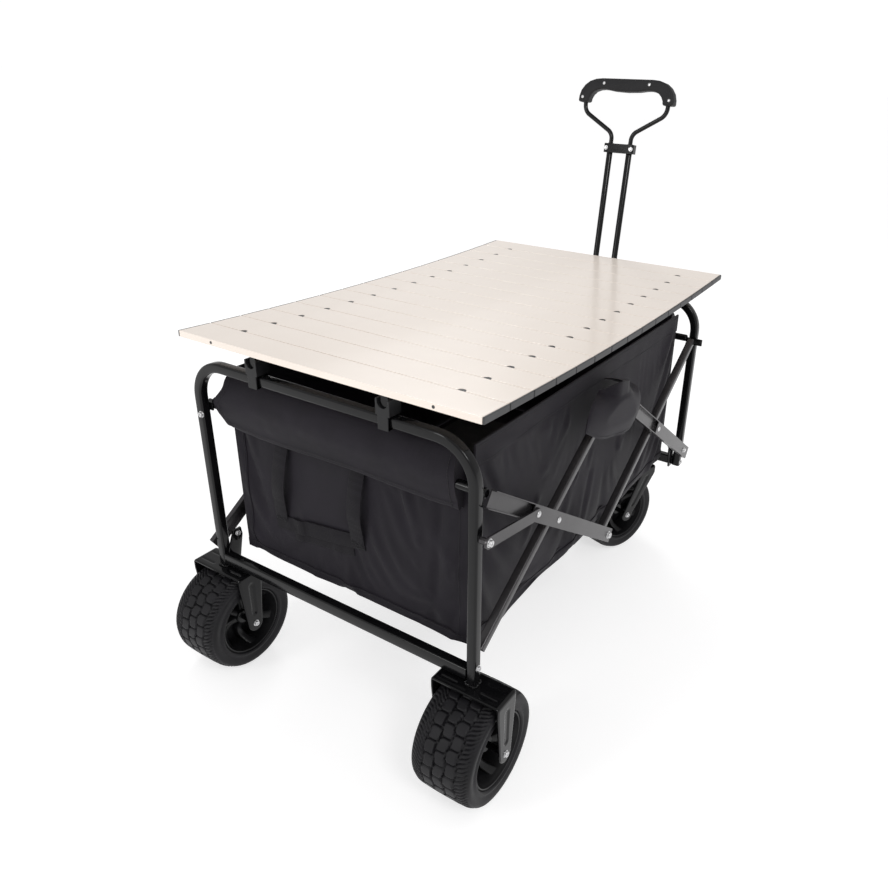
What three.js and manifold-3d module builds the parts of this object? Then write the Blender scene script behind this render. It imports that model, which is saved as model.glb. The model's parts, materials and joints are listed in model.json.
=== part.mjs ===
// Folding camp wagon: scissor-folding tube frame, fabric basket, four wide wheels,
// telescoping pull handle and a roll-up slat table. Millimetres, +Z up,
// +X towards the pull handle, +Y to the left. Origin: bottom centre of the bounding box.
import * as THREE from 'three';
import { mergeVertices } from 'three/addons/utils/BufferGeometryUtils.js';
import Module from 'manifold-3d';

const wasm = await Module();
wasm.setup();

// ---- driving dimensions -------------------------------------------------------------
const GAP = 0.3;                 // between touching pieces
const REAR_X = -443;             // middle plane of the rear hoop
const FRONT_X = 371;             // middle plane of the front hoop
const LEG_Y = 262;               // middle of a hoop leg and of a wheel
const TUBE = 16;                 // square frame tube
const HOOP_TOP = 580;
const HOOP_BEND = 60;            // bend radius at the tube's middle
const WHEEL_R = 89;
const WHEEL_W = 102;
const RIM_R = 60;
const RAIL_Z = 210;              // middle height of the cross rails
const RAIL_H = 20;
const PLATE_TOP = 193;           // top of the rear forks
const FORK_W = 118;
const FORK_L = 48;
const STEEL = 4;
const CASTER_X = 351;            // swivel axes of the front wheels
const CASTER_Y = 158;
const CASTER_TRAIL = 55;
const CASTER_TURN = -20;         // degrees the casters stand turned at rest

// Scissor linkage, in the XZ plane of each side
const PIVOT_LOW_Z = 250;
const PIVOT_TOP_Z = 505;
const PIVOT_INSET = 22;          // pivots stand this far inside the hoop planes
const REAR_PIVOT_X = REAR_X + PIVOT_INSET;
const FRONT_PIVOT_X = FRONT_X - PIVOT_INSET;
const MID_X = (REAR_X + FRONT_X) / 2;
const MID_LOW_Z = 235;
const CROSS_Z = (PIVOT_TOP_Z + MID_LOW_Z) / 2;
const RISE = PIVOT_TOP_Z - PIVOT_LOW_Z;
const RUN = MID_X - REAR_PIVOT_X;
const CROSS_X = REAR_PIVOT_X + RUN * (CROSS_Z - PIVOT_LOW_Z) / RISE;
const BAR_IN = 255;              // inner face of the tube bars
const BAR_T = 14;
const CHANNEL_IN = 272;          // inner face of the channel bars
const CHANNEL_H = 26;
const CHANNEL_D = 9;
const CHANNEL_WALL = 1.8;
const LINK_BOLT_Z = 440;
const STAY_RIVET_X = REAR_PIVOT_X + 108;

// Basket
const PANEL_IN = 30;             // outer face of an end panel, inside its hoop plane
const PANEL_T = 6;
const BASKET_Y = 236;
const BASKET_LOW = 243;
const BASKET_TOP = 552;
const END_RAIL_OFF = 17;
const END_RAIL_Z = 500;

// Table
const SLATS = 15;
const PITCH = 60;
const SLAT_GAP = 1.4;
const SLAT_T = 10;
const TABLE_W = 560;
const TABLE_Z = 620;             // top of the table at its two ends
const TABLE_MID_X = -5;
const SLAT_BEND = THREE.MathUtils.degToRad(0.35);   // sag: turn from one slat to the next
const RAIL_Y = 123;
const RAIL_R = 8;

// Pull handle, drawn along its own axis and then leaned forward
const HANDLE_X = 417;
const HANDLE_Z = 205;
const HANDLE_LEAN = THREE.MathUtils.degToRad(7.5);
const ROD_Y = 23;
const ROD_R = 6.5;
const BORE_R = 5.3;
const INNER_ROD_R = 4.7;
const CLAMP_T = 650;
const GRIP_TOP = 785;

// ---- materials ------------------------------------------------------------------------
const paint = (color, roughness, metalness) =>
  new THREE.MeshStandardMaterial({ color, roughness, metalness });
const gloss = paint(0x0b0b0c, 0.25, 0.6);
const grey = paint(0x4c484b, 0.4, 0.7);
const rubber = paint(0x141415, 0.85, 0);
const plastic = paint(0x18181a, 0.55, 0);
const fabric = paint(0x211f23, 0.95, 0);
const board = paint(0x2a2a2c, 0.9, 0);
const ivory = paint(0xe9dfd2, 0.3, 0.1);

const wagon = new THREE.Group();
function addPiece(name, geometry, material, parent = wagon) {
  const mesh = new THREE.Mesh(geometry, material);
  mesh.name = name;
  parent.add(mesh);
  return mesh;
}
const SIDES = [['left', 1], ['right', -1]];

// ---- shape helpers --------------------------------------------------------------------
function toSolid(geometry) {
  const bare = geometry.clone();
  bare.deleteAttribute('normal');
  bare.deleteAttribute('uv');
  const merged = mergeVertices(bare.index ? bare.toNonIndexed() : bare, 1e-4);
  return new wasm.Manifold(new wasm.Mesh({
    numProp: 3,
    vertProperties: Float32Array.from(merged.attributes.position.array),
    triVerts: Uint32Array.from(merged.index.array),
  }));
}

function toGeometry(solid) {
  const mesh = solid.getMesh();
  const geometry = new THREE.BufferGeometry();
  geometry.setAttribute('position', new THREE.BufferAttribute(mesh.vertProperties, 3));
  geometry.setIndex(new THREE.BufferAttribute(mesh.triVerts, 1));
  return geometry;
}

function join(...geometries) {
  return toGeometry(geometries.map(toSolid).reduce((a, b) => a.add(b)));
}

function cut(body, ...tools) {
  return toGeometry(tools.map(toSolid).reduce((a, b) => a.subtract(b), toSolid(body)));
}

const outline = (points) => new THREE.Shape(points.map(([x, y]) => new THREE.Vector2(x, y)));

// A rectangle with chamfered corners.
function chamfered(width, height, chamfer) {
  const w = width / 2;
  const h = height / 2;
  const c = chamfer;
  return outline([[-w + c, -h], [w - c, -h], [w, -h + c], [w, h - c],
    [w - c, h], [-w + c, h], [-w, h - c], [-w, -h + c]]);
}

function regular(radius, sides) {
  const points = [];
  for (let i = 0; i < sides; i += 1) {
    const a = (i + 0.5) * 2 * Math.PI / sides;
    points.push([radius * Math.cos(a), radius * Math.sin(a)]);
  }
  return outline(points);
}

function block(x0, x1, y0, y1, z0, z1) {
  const box = new THREE.BoxGeometry(x1 - x0, y1 - y0, z1 - z0);
  return box.translate((x0 + x1) / 2, (y0 + y1) / 2, (z0 + z1) / 2);
}

// Extrude a section along +X, +Y or +Z between two stations.
function prismX(section, x0, x1) {
  const g = new THREE.ExtrudeGeometry(section, { depth: x1 - x0, bevelEnabled: false, curveSegments: 6 });
  return g.rotateX(Math.PI / 2).rotateZ(Math.PI / 2).translate(x0, 0, 0);
}
function prismY(section, y0, y1) {
  const g = new THREE.ExtrudeGeometry(section, { depth: y1 - y0, bevelEnabled: false, curveSegments: 6 });
  return g.rotateX(Math.PI / 2).translate(0, y1, 0);
}
function prismZ(section, z0, z1) {
  const g = new THREE.ExtrudeGeometry(section, { depth: z1 - z0, bevelEnabled: false, curveSegments: 6 });
  return g.translate(0, 0, z0);
}

// Mirror-drawn outlines can run clockwise; put their faces the right way out.
function facingOut(geometry) {
  const solid = geometry.index ? geometry.toNonIndexed() : geometry;
  const p = solid.attributes.position;
  const [a, b, c] = [new THREE.Vector3(), new THREE.Vector3(), new THREE.Vector3()];
  let volume = 0;
  for (let i = 0; i < p.count; i += 3) {
    a.fromBufferAttribute(p, i);
    b.fromBufferAttribute(p, i + 1);
    c.fromBufferAttribute(p, i + 2);
    volume += a.dot(b.cross(c));
  }
  if (volume > 0) return solid;
  for (let i = 0; i < p.count; i += 3) {
    b.fromBufferAttribute(p, i + 1);
    c.fromBufferAttribute(p, i + 2);
    p.setXYZ(i + 1, c.x, c.y, c.z);
    p.setXYZ(i + 2, b.x, b.y, b.z);
  }
  return solid;
}

// A path through chosen stations, closest together in its bends.
class StationPath extends THREE.Curve {
  constructor(stations) {
    super();
    this.stations = stations;
  }
  getPoint(t) {
    const last = this.stations.length - 1;
    const i = Math.min(Math.floor(t * last + 1e-9), last - 1);
    return this.stations[i].clone().lerp(this.stations[i + 1], t * last - i);
  }
  getPointAt(t) { return this.getPoint(t); }
  getTangentAt(t) {
    const last = this.stations.length - 1;
    const i = Math.round(t * last);
    const before = this.stations[Math.max(i - 1, 0)];
    const here = this.stations[i];
    const after = this.stations[Math.min(i + 1, last)];
    const tangent = new THREE.Vector3();
    if (i > 0) tangent.add(here.clone().sub(before).normalize());
    if (i < last) tangent.add(after.clone().sub(here).normalize());
    return tangent.normalize();
  }
}

function sweep(section, stations) {
  return new THREE.ExtrudeGeometry(section, {
    steps: stations.length - 1, extrudePath: new StationPath(stations), bevelEnabled: false,
  });
}

// Stations of a line that turns at each corner with the given bend radius.
function bentPath(corners, steps = 5) {
  const stations = [corners[0].at.clone()];
  for (let i = 1; i < corners.length - 1; i += 1) {
    const { at, radius } = corners[i];
    const toPrev = corners[i - 1].at.clone().sub(at).normalize();
    const toNext = corners[i + 1].at.clone().sub(at).normalize();
    const half = toPrev.angleTo(toNext) / 2;
    const centre = toPrev.clone().add(toNext).normalize().multiplyScalar(radius / Math.sin(half)).add(at);
    const start = toPrev.multiplyScalar(radius / Math.tan(half)).add(at).sub(centre);
    const end = toNext.multiplyScalar(radius / Math.tan(half)).add(at).sub(centre);
    const sweepAngle = Math.PI - 2 * half;
    for (let k = 0; k <= steps; k += 1) {
      const f = k / steps;
      const a = Math.sin((1 - f) * sweepAngle) / Math.sin(sweepAngle);
      const b = Math.sin(f * sweepAngle) / Math.sin(sweepAngle);
      stations.push(start.clone().multiplyScalar(a).add(end.clone().multiplyScalar(b)).add(centre));
    }
  }
  stations.push(corners[corners.length - 1].at.clone());
  return stations;
}
const corner = (x, y, z, radius = 0) => ({ at: new THREE.Vector3(x, y, z), radius });

// ---- frame: hoops, cross rails, end rails ------------------------------------------------
function hoop(x, footZ) {
  const top = HOOP_TOP - TUBE / 2;
  return sweep(chamfered(TUBE, TUBE, 3), bentPath([
    corner(x, -LEG_Y, footZ),
    corner(x, -LEG_Y, top, HOOP_BEND),
    corner(x, LEG_Y, top, HOOP_BEND),
    corner(x, LEG_Y, footZ),
  ], 6));
}
addPiece('rear_hoop', hoop(REAR_X, PLATE_TOP + GAP), gloss);
addPiece('front_hoop', hoop(FRONT_X, RAIL_Z - RAIL_H / 2), gloss);

const railHalf = LEG_Y - TUBE / 2 - GAP;
function crossRail(x) {
  return prismY(chamfered(TUBE, RAIL_H, 2), -railHalf, railHalf).translate(x, 0, RAIL_Z);
}
// Clevis ears beside the legs carry the lower ends of the tube bars.
function pivotEar(x, direction, side) {
  const y = side * (BAR_IN - 4);
  const low = RAIL_Z - RAIL_H / 2;
  const ear = prismY(outline([[0, low], [direction * 22, low], [direction * 32, PIVOT_LOW_Z - 6],
    [direction * 30, PIVOT_LOW_Z + 8], [direction * 14, PIVOT_LOW_Z + 8], [0, low + 24]]), y - 2, y + 2);
  return facingOut(ear).translate(x, 0, 0);
}
const rearEars = SIDES.map(([, side]) => pivotEar(REAR_X, 1, side));
addPiece('rear_cross_rail', join(crossRail(REAR_X), ...rearEars), gloss);

const casterPlates = SIDES.map(([, side]) =>
  block(CASTER_X - 26, FRONT_X + 4, side * CASTER_Y - 26, side * CASTER_Y + 26, 195.5, RAIL_Z - 8));
const frontEars = SIDES.map(([, side]) => pivotEar(FRONT_X, -1, side));
addPiece('front_cross_rail', join(crossRail(FRONT_X), ...casterPlates, ...frontEars), gloss);

// Each end rail reaches its leg on one side and stops short of a tube bar's end on the other.
const railLong = LEG_Y + 6;
const railShort = BAR_IN - 2;
function endRail(x, y0, y1) {
  return prismY(regular(7, 10), y0, y1).translate(x, 0, END_RAIL_Z);
}
addPiece('rear_end_rail', endRail(REAR_X + END_RAIL_OFF, -railLong, railShort), gloss);
addPiece('front_end_rail', endRail(FRONT_X - END_RAIL_OFF, -railShort, railLong), gloss);

// ---- wheels and forks ------------------------------------------------------------------------
function revolve(profile, segments) {
  const points = profile.map(([r, y]) => new THREE.Vector2(r, y));
  return facingOut(new THREE.LatheGeometry([...points, points[0]], segments));
}
const half = WHEEL_W / 2;
function tyre() {
  return revolve([[RIM_R + GAP, -half + 3], [WHEEL_R - 8, -half], [WHEEL_R - 2, -half + 9], [WHEEL_R, -half + 26],
    [WHEEL_R, half - 26], [WHEEL_R - 2, half - 9], [WHEEL_R - 8, half], [RIM_R + GAP, half - 3]], 32);
}
function rim() {
  return revolve([[5, -half + 24], [13, -half + 24], [14, -8], [RIM_R - 8, -6], [RIM_R, -half + 4],
    [RIM_R, half - 4], [RIM_R - 8, 6], [14, 8], [13, half - 24], [5, half - 24]], 32);
}
function addWheel(name, x, y, turn = 0) {
  for (const [piece, geometry, material] of [['tyre', tyre(), rubber], ['rim', rim(), plastic]]) {
    const mesh = addPiece(`${name}_${piece}`, geometry, material);
    mesh.position.set(x, y, WHEEL_R);
    mesh.rotation.z = turn;
  }
}

// An inverted U over the wheel. The legs run from the top plate down to the axle.
function forkLegs(axleX, topHalf) {
  const tip = 15;
  const shape = new THREE.Shape();
  shape.moveTo(-topHalf, PLATE_TOP);
  shape.lineTo(-topHalf, PLATE_TOP - 18);
  shape.lineTo(axleX - tip, WHEEL_R);
  shape.absarc(axleX, WHEEL_R, tip, Math.PI, 2 * Math.PI, false);
  shape.lineTo(topHalf, PLATE_TOP - 18);
  shape.lineTo(topHalf, PLATE_TOP);
  return SIDES.map(([, side]) => {
    const y = side * (FORK_W / 2 - STEEL / 2);
    return facingOut(prismY(shape, y - STEEL / 2, y + STEEL / 2));
  });
}
function fork(axleX) {
  const plate = block(-FORK_L / 2, FORK_L / 2, -FORK_W / 2, FORK_W / 2, PLATE_TOP - STEEL, PLATE_TOP);
  const axle = prismY(regular(4.6, 8), -FORK_W / 2 + 1, FORK_W / 2 - 1).translate(axleX, 0, WHEEL_R);
  return join(plate, ...forkLegs(axleX, FORK_L / 2), axle);
}
for (const [sideName, side] of SIDES) {
  addPiece(`rear_fork_${sideName}`, fork(0), gloss).position.set(REAR_X, side * LEG_Y, 0);
  addWheel(`rear_${sideName}`, REAR_X, side * LEG_Y);

  const turn = THREE.MathUtils.degToRad(CASTER_TURN);
  const bearing = prismZ(regular(20, 12), PLATE_TOP - 1, 195.5 - GAP);
  const caster = addPiece(`caster_fork_${sideName}`, join(fork(-CASTER_TRAIL), bearing), gloss);
  caster.position.set(CASTER_X, side * CASTER_Y, 0);
  caster.rotation.z = turn;
  addWheel(`front_${sideName}`, CASTER_X - CASTER_TRAIL * Math.cos(turn),
    side * CASTER_Y - CASTER_TRAIL * Math.sin(turn), turn);
}

// ---- scissor linkage ------------------------------------------------------------------------------
// Bars are drawn along +X with their first pivot at zero, then turned into place.
function placeBar(geometry, from, to) {
  const angle = Math.atan2(to[1] - from[1], to[0] - from[0]);
  return geometry.rotateY(-angle).translate(from[0], 0, from[1]);
}
const distance = (from, to) => Math.hypot(to[0] - from[0], to[1] - from[1]);

function tubeBar(from, to, side) {
  const y = side * (BAR_IN + BAR_T / 2);
  const bar = prismX(chamfered(BAR_T, BAR_T, 2.5), -9, distance(from, to) + 9).translate(0, y, 0);
  return placeBar(bar, from, to);
}

// C-section in the YZ plane: the web is on the outer side, or on the inner side when it opens outward.
function channelSection(side, opensOutward) {
  const web = opensOutward ? CHANNEL_IN : CHANNEL_IN + CHANNEL_D;
  const lip = opensOutward ? CHANNEL_IN + CHANNEL_D : CHANNEL_IN;
  const wall = opensOutward ? CHANNEL_WALL : -CHANNEL_WALL;
  const h = CHANNEL_H / 2;
  return outline([[web, -h], [lip, -h], [lip, -h + CHANNEL_WALL], [web + wall, -h + CHANNEL_WALL],
    [web + wall, h - CHANNEL_WALL], [lip, h - CHANNEL_WALL], [lip, h], [web, h]]
    .map(([y, z]) => [side * y, z]));
}
// The first stretch opens outward and the rest has its flat face outward.
function channelBar(from, to, side, openLength, overhang) {
  const end = distance(from, to) + overhang;
  const open = facingOut(prismX(channelSection(side, true), -10, openLength + 12));
  const closed = facingOut(prismX(channelSection(side, false), openLength - 12, end));
  return placeBar(join(open, closed), from, to);
}

const REAR_LOW = [REAR_PIVOT_X, PIVOT_LOW_Z];
const FRONT_LOW = [FRONT_PIVOT_X, PIVOT_LOW_Z];
const MID_TOP = [MID_X, PIVOT_TOP_Z];
const MID_LOW = [MID_X, MID_LOW_Z];
const END_TOP_Z = CROSS_Z + (CROSS_X - REAR_PIVOT_X) * RISE / RUN;
const REAR_TOP = [REAR_PIVOT_X, END_TOP_Z];
const FRONT_TOP = [FRONT_PIVOT_X, END_TOP_Z];
const CROSS_FRONT = [2 * MID_X - CROSS_X, CROSS_Z];
const STAY_BOLT = [REAR_X, LINK_BOLT_Z];
const STAY_RIVET = [STAY_RIVET_X, END_TOP_Z - (STAY_RIVET_X - REAR_PIVOT_X) * RISE / RUN];

function stayLink(bolt, rivet, side) {
  const length = distance(bolt, rivet);
  const inner = CHANNEL_IN + CHANNEL_D + GAP + 0.4;
  const ends = [inner, inner + 3].map((y) => side * y).sort((a, b) => a - b);
  const boss = [LEG_Y + TUBE / 2 + GAP, inner + 1].map((y) => side * y).sort((a, b) => a - b);
  const shape = new THREE.Shape();
  shape.absarc(0, 0, 9, Math.PI / 2, 3 * Math.PI / 2, false);
  shape.absarc(length, 0, 9, -Math.PI / 2, Math.PI / 2, false);
  const strap = facingOut(prismY(shape, ...ends));
  const spacer = prismY(regular(5, 8), ...boss);
  return placeBar(join(strap, spacer), bolt, rivet);
}
// The left side is the right side turned half a turn about the vertical through the middle pivots.
const toStay = distance(REAR_TOP, STAY_RIVET);
const toCross = distance(MID_TOP, CROSS_FRONT);
for (const [sideName, side] of SIDES) {
  const turned = side > 0;
  const at = ([x, z]) => [turned ? 2 * MID_X - x : x, z];
  const [one, other] = turned ? ['front', 'rear'] : ['rear', 'front'];
  const bars = {
    [`${one}_rising_bar`]: tubeBar(at(REAR_LOW), at(MID_TOP), side),
    [`${one}_falling_bar`]: channelBar(at(REAR_TOP), at(MID_LOW), side, toStay, 13),
    [`${other}_falling_bar`]: tubeBar(at(MID_LOW), at(FRONT_TOP), side),
    [`${other}_rising_bar`]: channelBar(at(MID_TOP), at(FRONT_LOW), side, toCross, 34),
    stay_link: stayLink(at(STAY_BOLT), at(STAY_RIVET), side),
  };
  for (const [name, geometry] of Object.entries(bars)) addPiece(`${name}_${sideName}`, geometry, grey);
}

// ---- basket ---------------------------------------------------------------------------------------
function endPanel(x) {
  return block(x - PANEL_T / 2, x + PANEL_T / 2, -BASKET_Y + 4, BASKET_Y - 4, BASKET_LOW + 5, BASKET_TOP);
}
const panelRear = REAR_X + PANEL_IN + PANEL_T / 2;
const panelFront = FRONT_X - PANEL_IN - PANEL_T / 2;
addPiece('rear_end_panel', endPanel(panelRear), fabric);
addPiece('front_end_panel', endPanel(panelFront), fabric);

const WALL = 3;
const troughSection = outline([[-BASKET_Y, BASKET_TOP], [-BASKET_Y, BASKET_LOW], [BASKET_Y, BASKET_LOW],
  [BASKET_Y, BASKET_TOP], [BASKET_Y - WALL, BASKET_TOP], [BASKET_Y - WALL, BASKET_LOW + WALL],
  [-BASKET_Y + WALL, BASKET_LOW + WALL], [-BASKET_Y + WALL, BASKET_TOP]]);
const troughStart = panelRear + PANEL_T / 2 + GAP;
const troughEnd = panelFront - PANEL_T / 2 - GAP;
addPiece('basket_sides_and_floor', facingOut(prismX(troughSection, troughStart, troughEnd)), fabric);

// Stiff boards on the fabric floor, hinged to each other in the middle.
const BOARD_LIFT = BASKET_LOW + WALL + GAP;
const BOARD_LENGTH = 320;
const BOARD_Y = 215;
const BOARD_START = panelRear + PANEL_T / 2 + 7;
function floorBoard(start) {
  return block(start + 1, start + BOARD_LENGTH - 1, -BOARD_Y, BOARD_Y, BOARD_LIFT, BOARD_LIFT + 3);
}
addPiece('floor_board_rear', floorBoard(BOARD_START), board);
addPiece('floor_board_front', floorBoard(BOARD_START + BOARD_LENGTH), board);

// ---- table: sagging row of slats on two rails held by four clips ----------------------------------
const sagRadius = PITCH / SLAT_BEND;
const sagCentreZ = TABLE_Z + sagRadius * Math.cos(SLATS * SLAT_BEND / 2);
function slatAngle(index) {
  return (index - (SLATS - 1) / 2) * SLAT_BEND;
}
for (let i = 0; i < SLATS; i += 1) {
  const slat = prismY(chamfered(PITCH - SLAT_GAP, SLAT_T, 1.2), -TABLE_W / 2, TABLE_W / 2)
    .translate(0, 0, -SLAT_T / 2);
  const mesh = addPiece(`slat_${String(i + 1).padStart(2, '0')}`, slat, ivory);
  const angle = slatAngle(i);
  mesh.position.set(TABLE_MID_X + sagRadius * Math.sin(angle), 0, sagCentreZ - sagRadius * Math.cos(angle));
  mesh.rotation.y = -angle;
}

const railDrop = SLAT_T + RAIL_R + 0.9;
function railZ(x) {
  return sagCentreZ - Math.sqrt((sagRadius + railDrop) ** 2 - (x - TABLE_MID_X) ** 2);
}
function tableRail(y) {
  const stations = [];
  const [start, end, steps] = [REAR_X - 8, TABLE_MID_X + 430, 10];
  for (let i = 0; i <= steps; i += 1) {
    const x = start + (end - start) * i / steps;
    stations.push(new THREE.Vector3(x, y, railZ(x)));
  }
  return sweep(regular(RAIL_R, 10), stations);
}
// A clip snaps over the hoop's top bar and cradles a rail in its open U.
function clip(x, y) {
  const [reach, wall, length] = [TUBE / 2 + GAP, 4, 18];
  const top = HOOP_TOP + GAP;
  const low = HOOP_TOP - TUBE - GAP;
  const out = reach + wall;
  const grip = facingOut(prismY(outline([[-out, low - 3], [-out, top + 5], [out, top + 5], [out, low - 3],
    [reach - 3, low - 3], [reach, low + 2], [reach, top], [-reach, top], [-reach, low + 2],
    [-reach + 3, low - 3]]), y - length / 2, y + length / 2).translate(x, 0, 0));
  const seat = railZ(x);
  const u = new THREE.Shape();
  const [inner, outer] = [RAIL_R + 0.6, RAIL_R + 4];
  u.moveTo(-outer, top + 1);
  u.lineTo(outer, top + 1);
  u.lineTo(outer, seat + 4);
  u.lineTo(inner, seat + 4);
  u.lineTo(inner, seat);
  u.absarc(0, seat, inner, 0, Math.PI, true);
  u.lineTo(-inner, seat + 4);
  u.lineTo(-outer, seat + 4);
  const cradle = facingOut(prismX(u, x - out, x + out).translate(0, y, 0));
  return join(grip, cradle);
}
for (const [sideName, side] of SIDES) {
  addPiece(`table_rail_${sideName}`, tableRail(side * RAIL_Y), gloss);
  addPiece(`rear_clip_${sideName}`, clip(REAR_X, side * RAIL_Y), plastic);
  addPiece(`front_clip_${sideName}`, clip(FRONT_X, side * RAIL_Y), plastic);
}

// ---- pull handle ------------------------------------------------------------------------------------
const cheekIn = ROD_Y + ROD_R + 3;
const handleBracket = facingOut(prismZ(outline([[FRONT_X + TUBE / 2 + GAP, -cheekIn - 3],
  [HANDLE_X + 12, -cheekIn - 3], [HANDLE_X + 12, -cheekIn], [FRONT_X + 12, -cheekIn],
  [FRONT_X + 12, cheekIn], [HANDLE_X + 12, cheekIn], [HANDLE_X + 12, cheekIn + 3],
  [FRONT_X + TUBE / 2 + GAP, cheekIn + 3]]), RAIL_Z - 14, RAIL_Z + 10));
addPiece('handle_bracket', handleBracket, gloss);

const handle = new THREE.Group();
handle.position.set(HANDLE_X, 0, HANDLE_Z);
handle.rotation.y = HANDLE_LEAN;
wagon.add(handle);

// Two open-topped tubes on a solid pivot tube.
function lowerTubes() {
  const pivot = prismY(regular(8, 10), -cheekIn + GAP, cheekIn - GAP);
  const tubes = SIDES.map(([, side]) =>
    prismZ(regular(ROD_R, 12), 0, CLAMP_T + 6).translate(0, side * ROD_Y, 0));
  const bores = SIDES.map(([, side]) =>
    prismZ(regular(BORE_R, 12), 60, CLAMP_T + 20).translate(0, side * ROD_Y, 0));
  return cut(join(pivot, ...tubes), ...bores);
}
addPiece('handle_lower_tubes', lowerTubes(), gloss, handle);

function clampBar() {
  const shape = chamfered(20, 2 * ROD_Y + 24, 3);
  for (const [, side] of SIDES) {
    const hole = new THREE.Path();
    hole.absarc(0, side * ROD_Y, ROD_R + GAP, 0, 2 * Math.PI, true);
    shape.holes.push(hole);
  }
  return prismZ(shape, CLAMP_T - 14, CLAMP_T + 5);
}
addPiece('handle_clamp', clampBar(), plastic, handle);

// One bent tube: up out of a lower tube, flaring out, around the grip and down again.
function loopPath(start) {
  return bentPath([
    corner(0, -ROD_Y, start), corner(0, -ROD_Y, CLAMP_T + 26, 22), corner(0, -95, CLAMP_T + 68, 24),
    corner(0, -97, CLAMP_T + 106, 16), corner(0, -62, GRIP_TOP - 10, 26), corner(0, 62, GRIP_TOP - 10, 26),
    corner(0, 97, CLAMP_T + 106, 16), corner(0, 95, CLAMP_T + 68, 24), corner(0, ROD_Y, CLAMP_T + 26, 22),
    corner(0, ROD_Y, start)], 4);
}
addPiece('handle_upper_loop', sweep(regular(INNER_ROD_R, 12), loopPath(300)), gloss, handle);

function grip() {
  const shape = new THREE.Shape();
  shape.moveTo(-109, CLAMP_T + 88);
  shape.lineTo(-108, CLAMP_T + 104);
  shape.quadraticCurveTo(-96, GRIP_TOP - 1, -58, GRIP_TOP);
  shape.lineTo(58, GRIP_TOP);
  shape.quadraticCurveTo(96, GRIP_TOP - 1, 108, CLAMP_T + 104);
  shape.lineTo(109, CLAMP_T + 88);
  shape.lineTo(85, CLAMP_T + 88);
  shape.quadraticCurveTo(82, GRIP_TOP - 24, 52, GRIP_TOP - 22);
  shape.lineTo(-52, GRIP_TOP - 22);
  shape.quadraticCurveTo(-82, GRIP_TOP - 24, -85, CLAMP_T + 88);
  const body = facingOut(prismX(shapeYZ(shape), -12, 12));
  return cut(body, sweep(regular(INNER_ROD_R + 0.5, 12), loopPath(400)));
}
function shapeYZ(shape) {
  return outline(shape.getPoints(6).map((p) => [p.x, p.y]));
}
addPiece('handle_grip', grip(), rubber, handle);

export default wagon;
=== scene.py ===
"""Looks of the folding camp wagon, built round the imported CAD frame.

Lengths in the tables are millimetres.
"""
import json
import math

import bmesh
import bpy
from mathutils import Matrix, Vector, noise

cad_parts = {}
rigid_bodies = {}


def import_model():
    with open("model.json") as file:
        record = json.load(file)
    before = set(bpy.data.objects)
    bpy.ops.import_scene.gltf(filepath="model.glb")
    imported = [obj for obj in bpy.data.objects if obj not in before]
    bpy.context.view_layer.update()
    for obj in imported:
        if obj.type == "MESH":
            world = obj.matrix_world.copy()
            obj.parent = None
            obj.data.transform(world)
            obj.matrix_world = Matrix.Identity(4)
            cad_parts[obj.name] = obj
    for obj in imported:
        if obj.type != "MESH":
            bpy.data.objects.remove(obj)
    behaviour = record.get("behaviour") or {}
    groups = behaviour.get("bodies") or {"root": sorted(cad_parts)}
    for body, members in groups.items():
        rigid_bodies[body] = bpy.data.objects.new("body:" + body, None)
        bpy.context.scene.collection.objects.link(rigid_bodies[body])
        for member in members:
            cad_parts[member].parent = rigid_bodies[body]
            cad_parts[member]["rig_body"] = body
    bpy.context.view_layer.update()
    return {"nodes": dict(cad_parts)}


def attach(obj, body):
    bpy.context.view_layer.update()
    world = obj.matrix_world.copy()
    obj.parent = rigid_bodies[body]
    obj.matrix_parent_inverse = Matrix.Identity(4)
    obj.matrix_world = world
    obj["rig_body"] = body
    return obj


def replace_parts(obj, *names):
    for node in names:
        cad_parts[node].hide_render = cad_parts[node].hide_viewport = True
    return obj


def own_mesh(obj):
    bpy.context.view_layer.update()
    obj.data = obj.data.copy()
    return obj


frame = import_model()

# ---- sizes shared with the CAD, in mm ------------------------------------------------------
MM = 0.001
REAR_X, FRONT_X, LEG_Y = -443.0, 371.0, 262.0
TUBE, HOOP_TOP, HOOP_BEND = 16.0, 580.0, 60.0
WHEEL_R = 89.0
RAIL_Z, RAIL_H, PLATE_TOP = 210.0, 20.0, 193.0
FORK_W, FORK_L, STEEL = 118.0, 48.0, 4.0
CASTER_X, CASTER_Y, CASTER_TRAIL, CASTER_TURN = 351.0, 158.0, 55.0, math.radians(-20)
PIVOT_LOW_Z, PIVOT_TOP_Z, PIVOT_INSET, MID_LOW_Z = 250.0, 505.0, 22.0, 235.0
REAR_PIVOT_X, FRONT_PIVOT_X = REAR_X + PIVOT_INSET, FRONT_X - PIVOT_INSET
MID_X = (REAR_X + FRONT_X) / 2
CROSS_Z = (PIVOT_TOP_Z + MID_LOW_Z) / 2
RISE, RUN = PIVOT_TOP_Z - PIVOT_LOW_Z, MID_X - REAR_PIVOT_X
CROSS_X = REAR_PIVOT_X + RUN * (CROSS_Z - PIVOT_LOW_Z) / RISE
CROSS_FRONT_X = 2 * MID_X - CROSS_X
END_TOP_Z = CROSS_Z + (CROSS_X - REAR_PIVOT_X) * RISE / RUN
STAY_RIVET = (REAR_PIVOT_X + 108, END_TOP_Z - 108 * RISE / RUN)
LINK_BOLT_Z = 440.0
END_RAIL_OFF, END_RAIL_Z, END_RAIL_R = 17.0, 500.0, 7.0
PANEL_REAR_X, PANEL_FRONT_X = -410.0, 338.0
BASKET_Y, BASKET_LOW, BASKET_TOP, SKIRT_Z = 236.0, 243.0, 552.0, 227.0
SLATS, PITCH, SLAT_GAP, SLAT_T, TABLE_W = 15, 60.0, 1.4, 10.0, 560.0
TABLE_Z, TABLE_MID_X, SLAT_BEND = 620.0, -5.0, math.radians(0.35)
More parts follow.
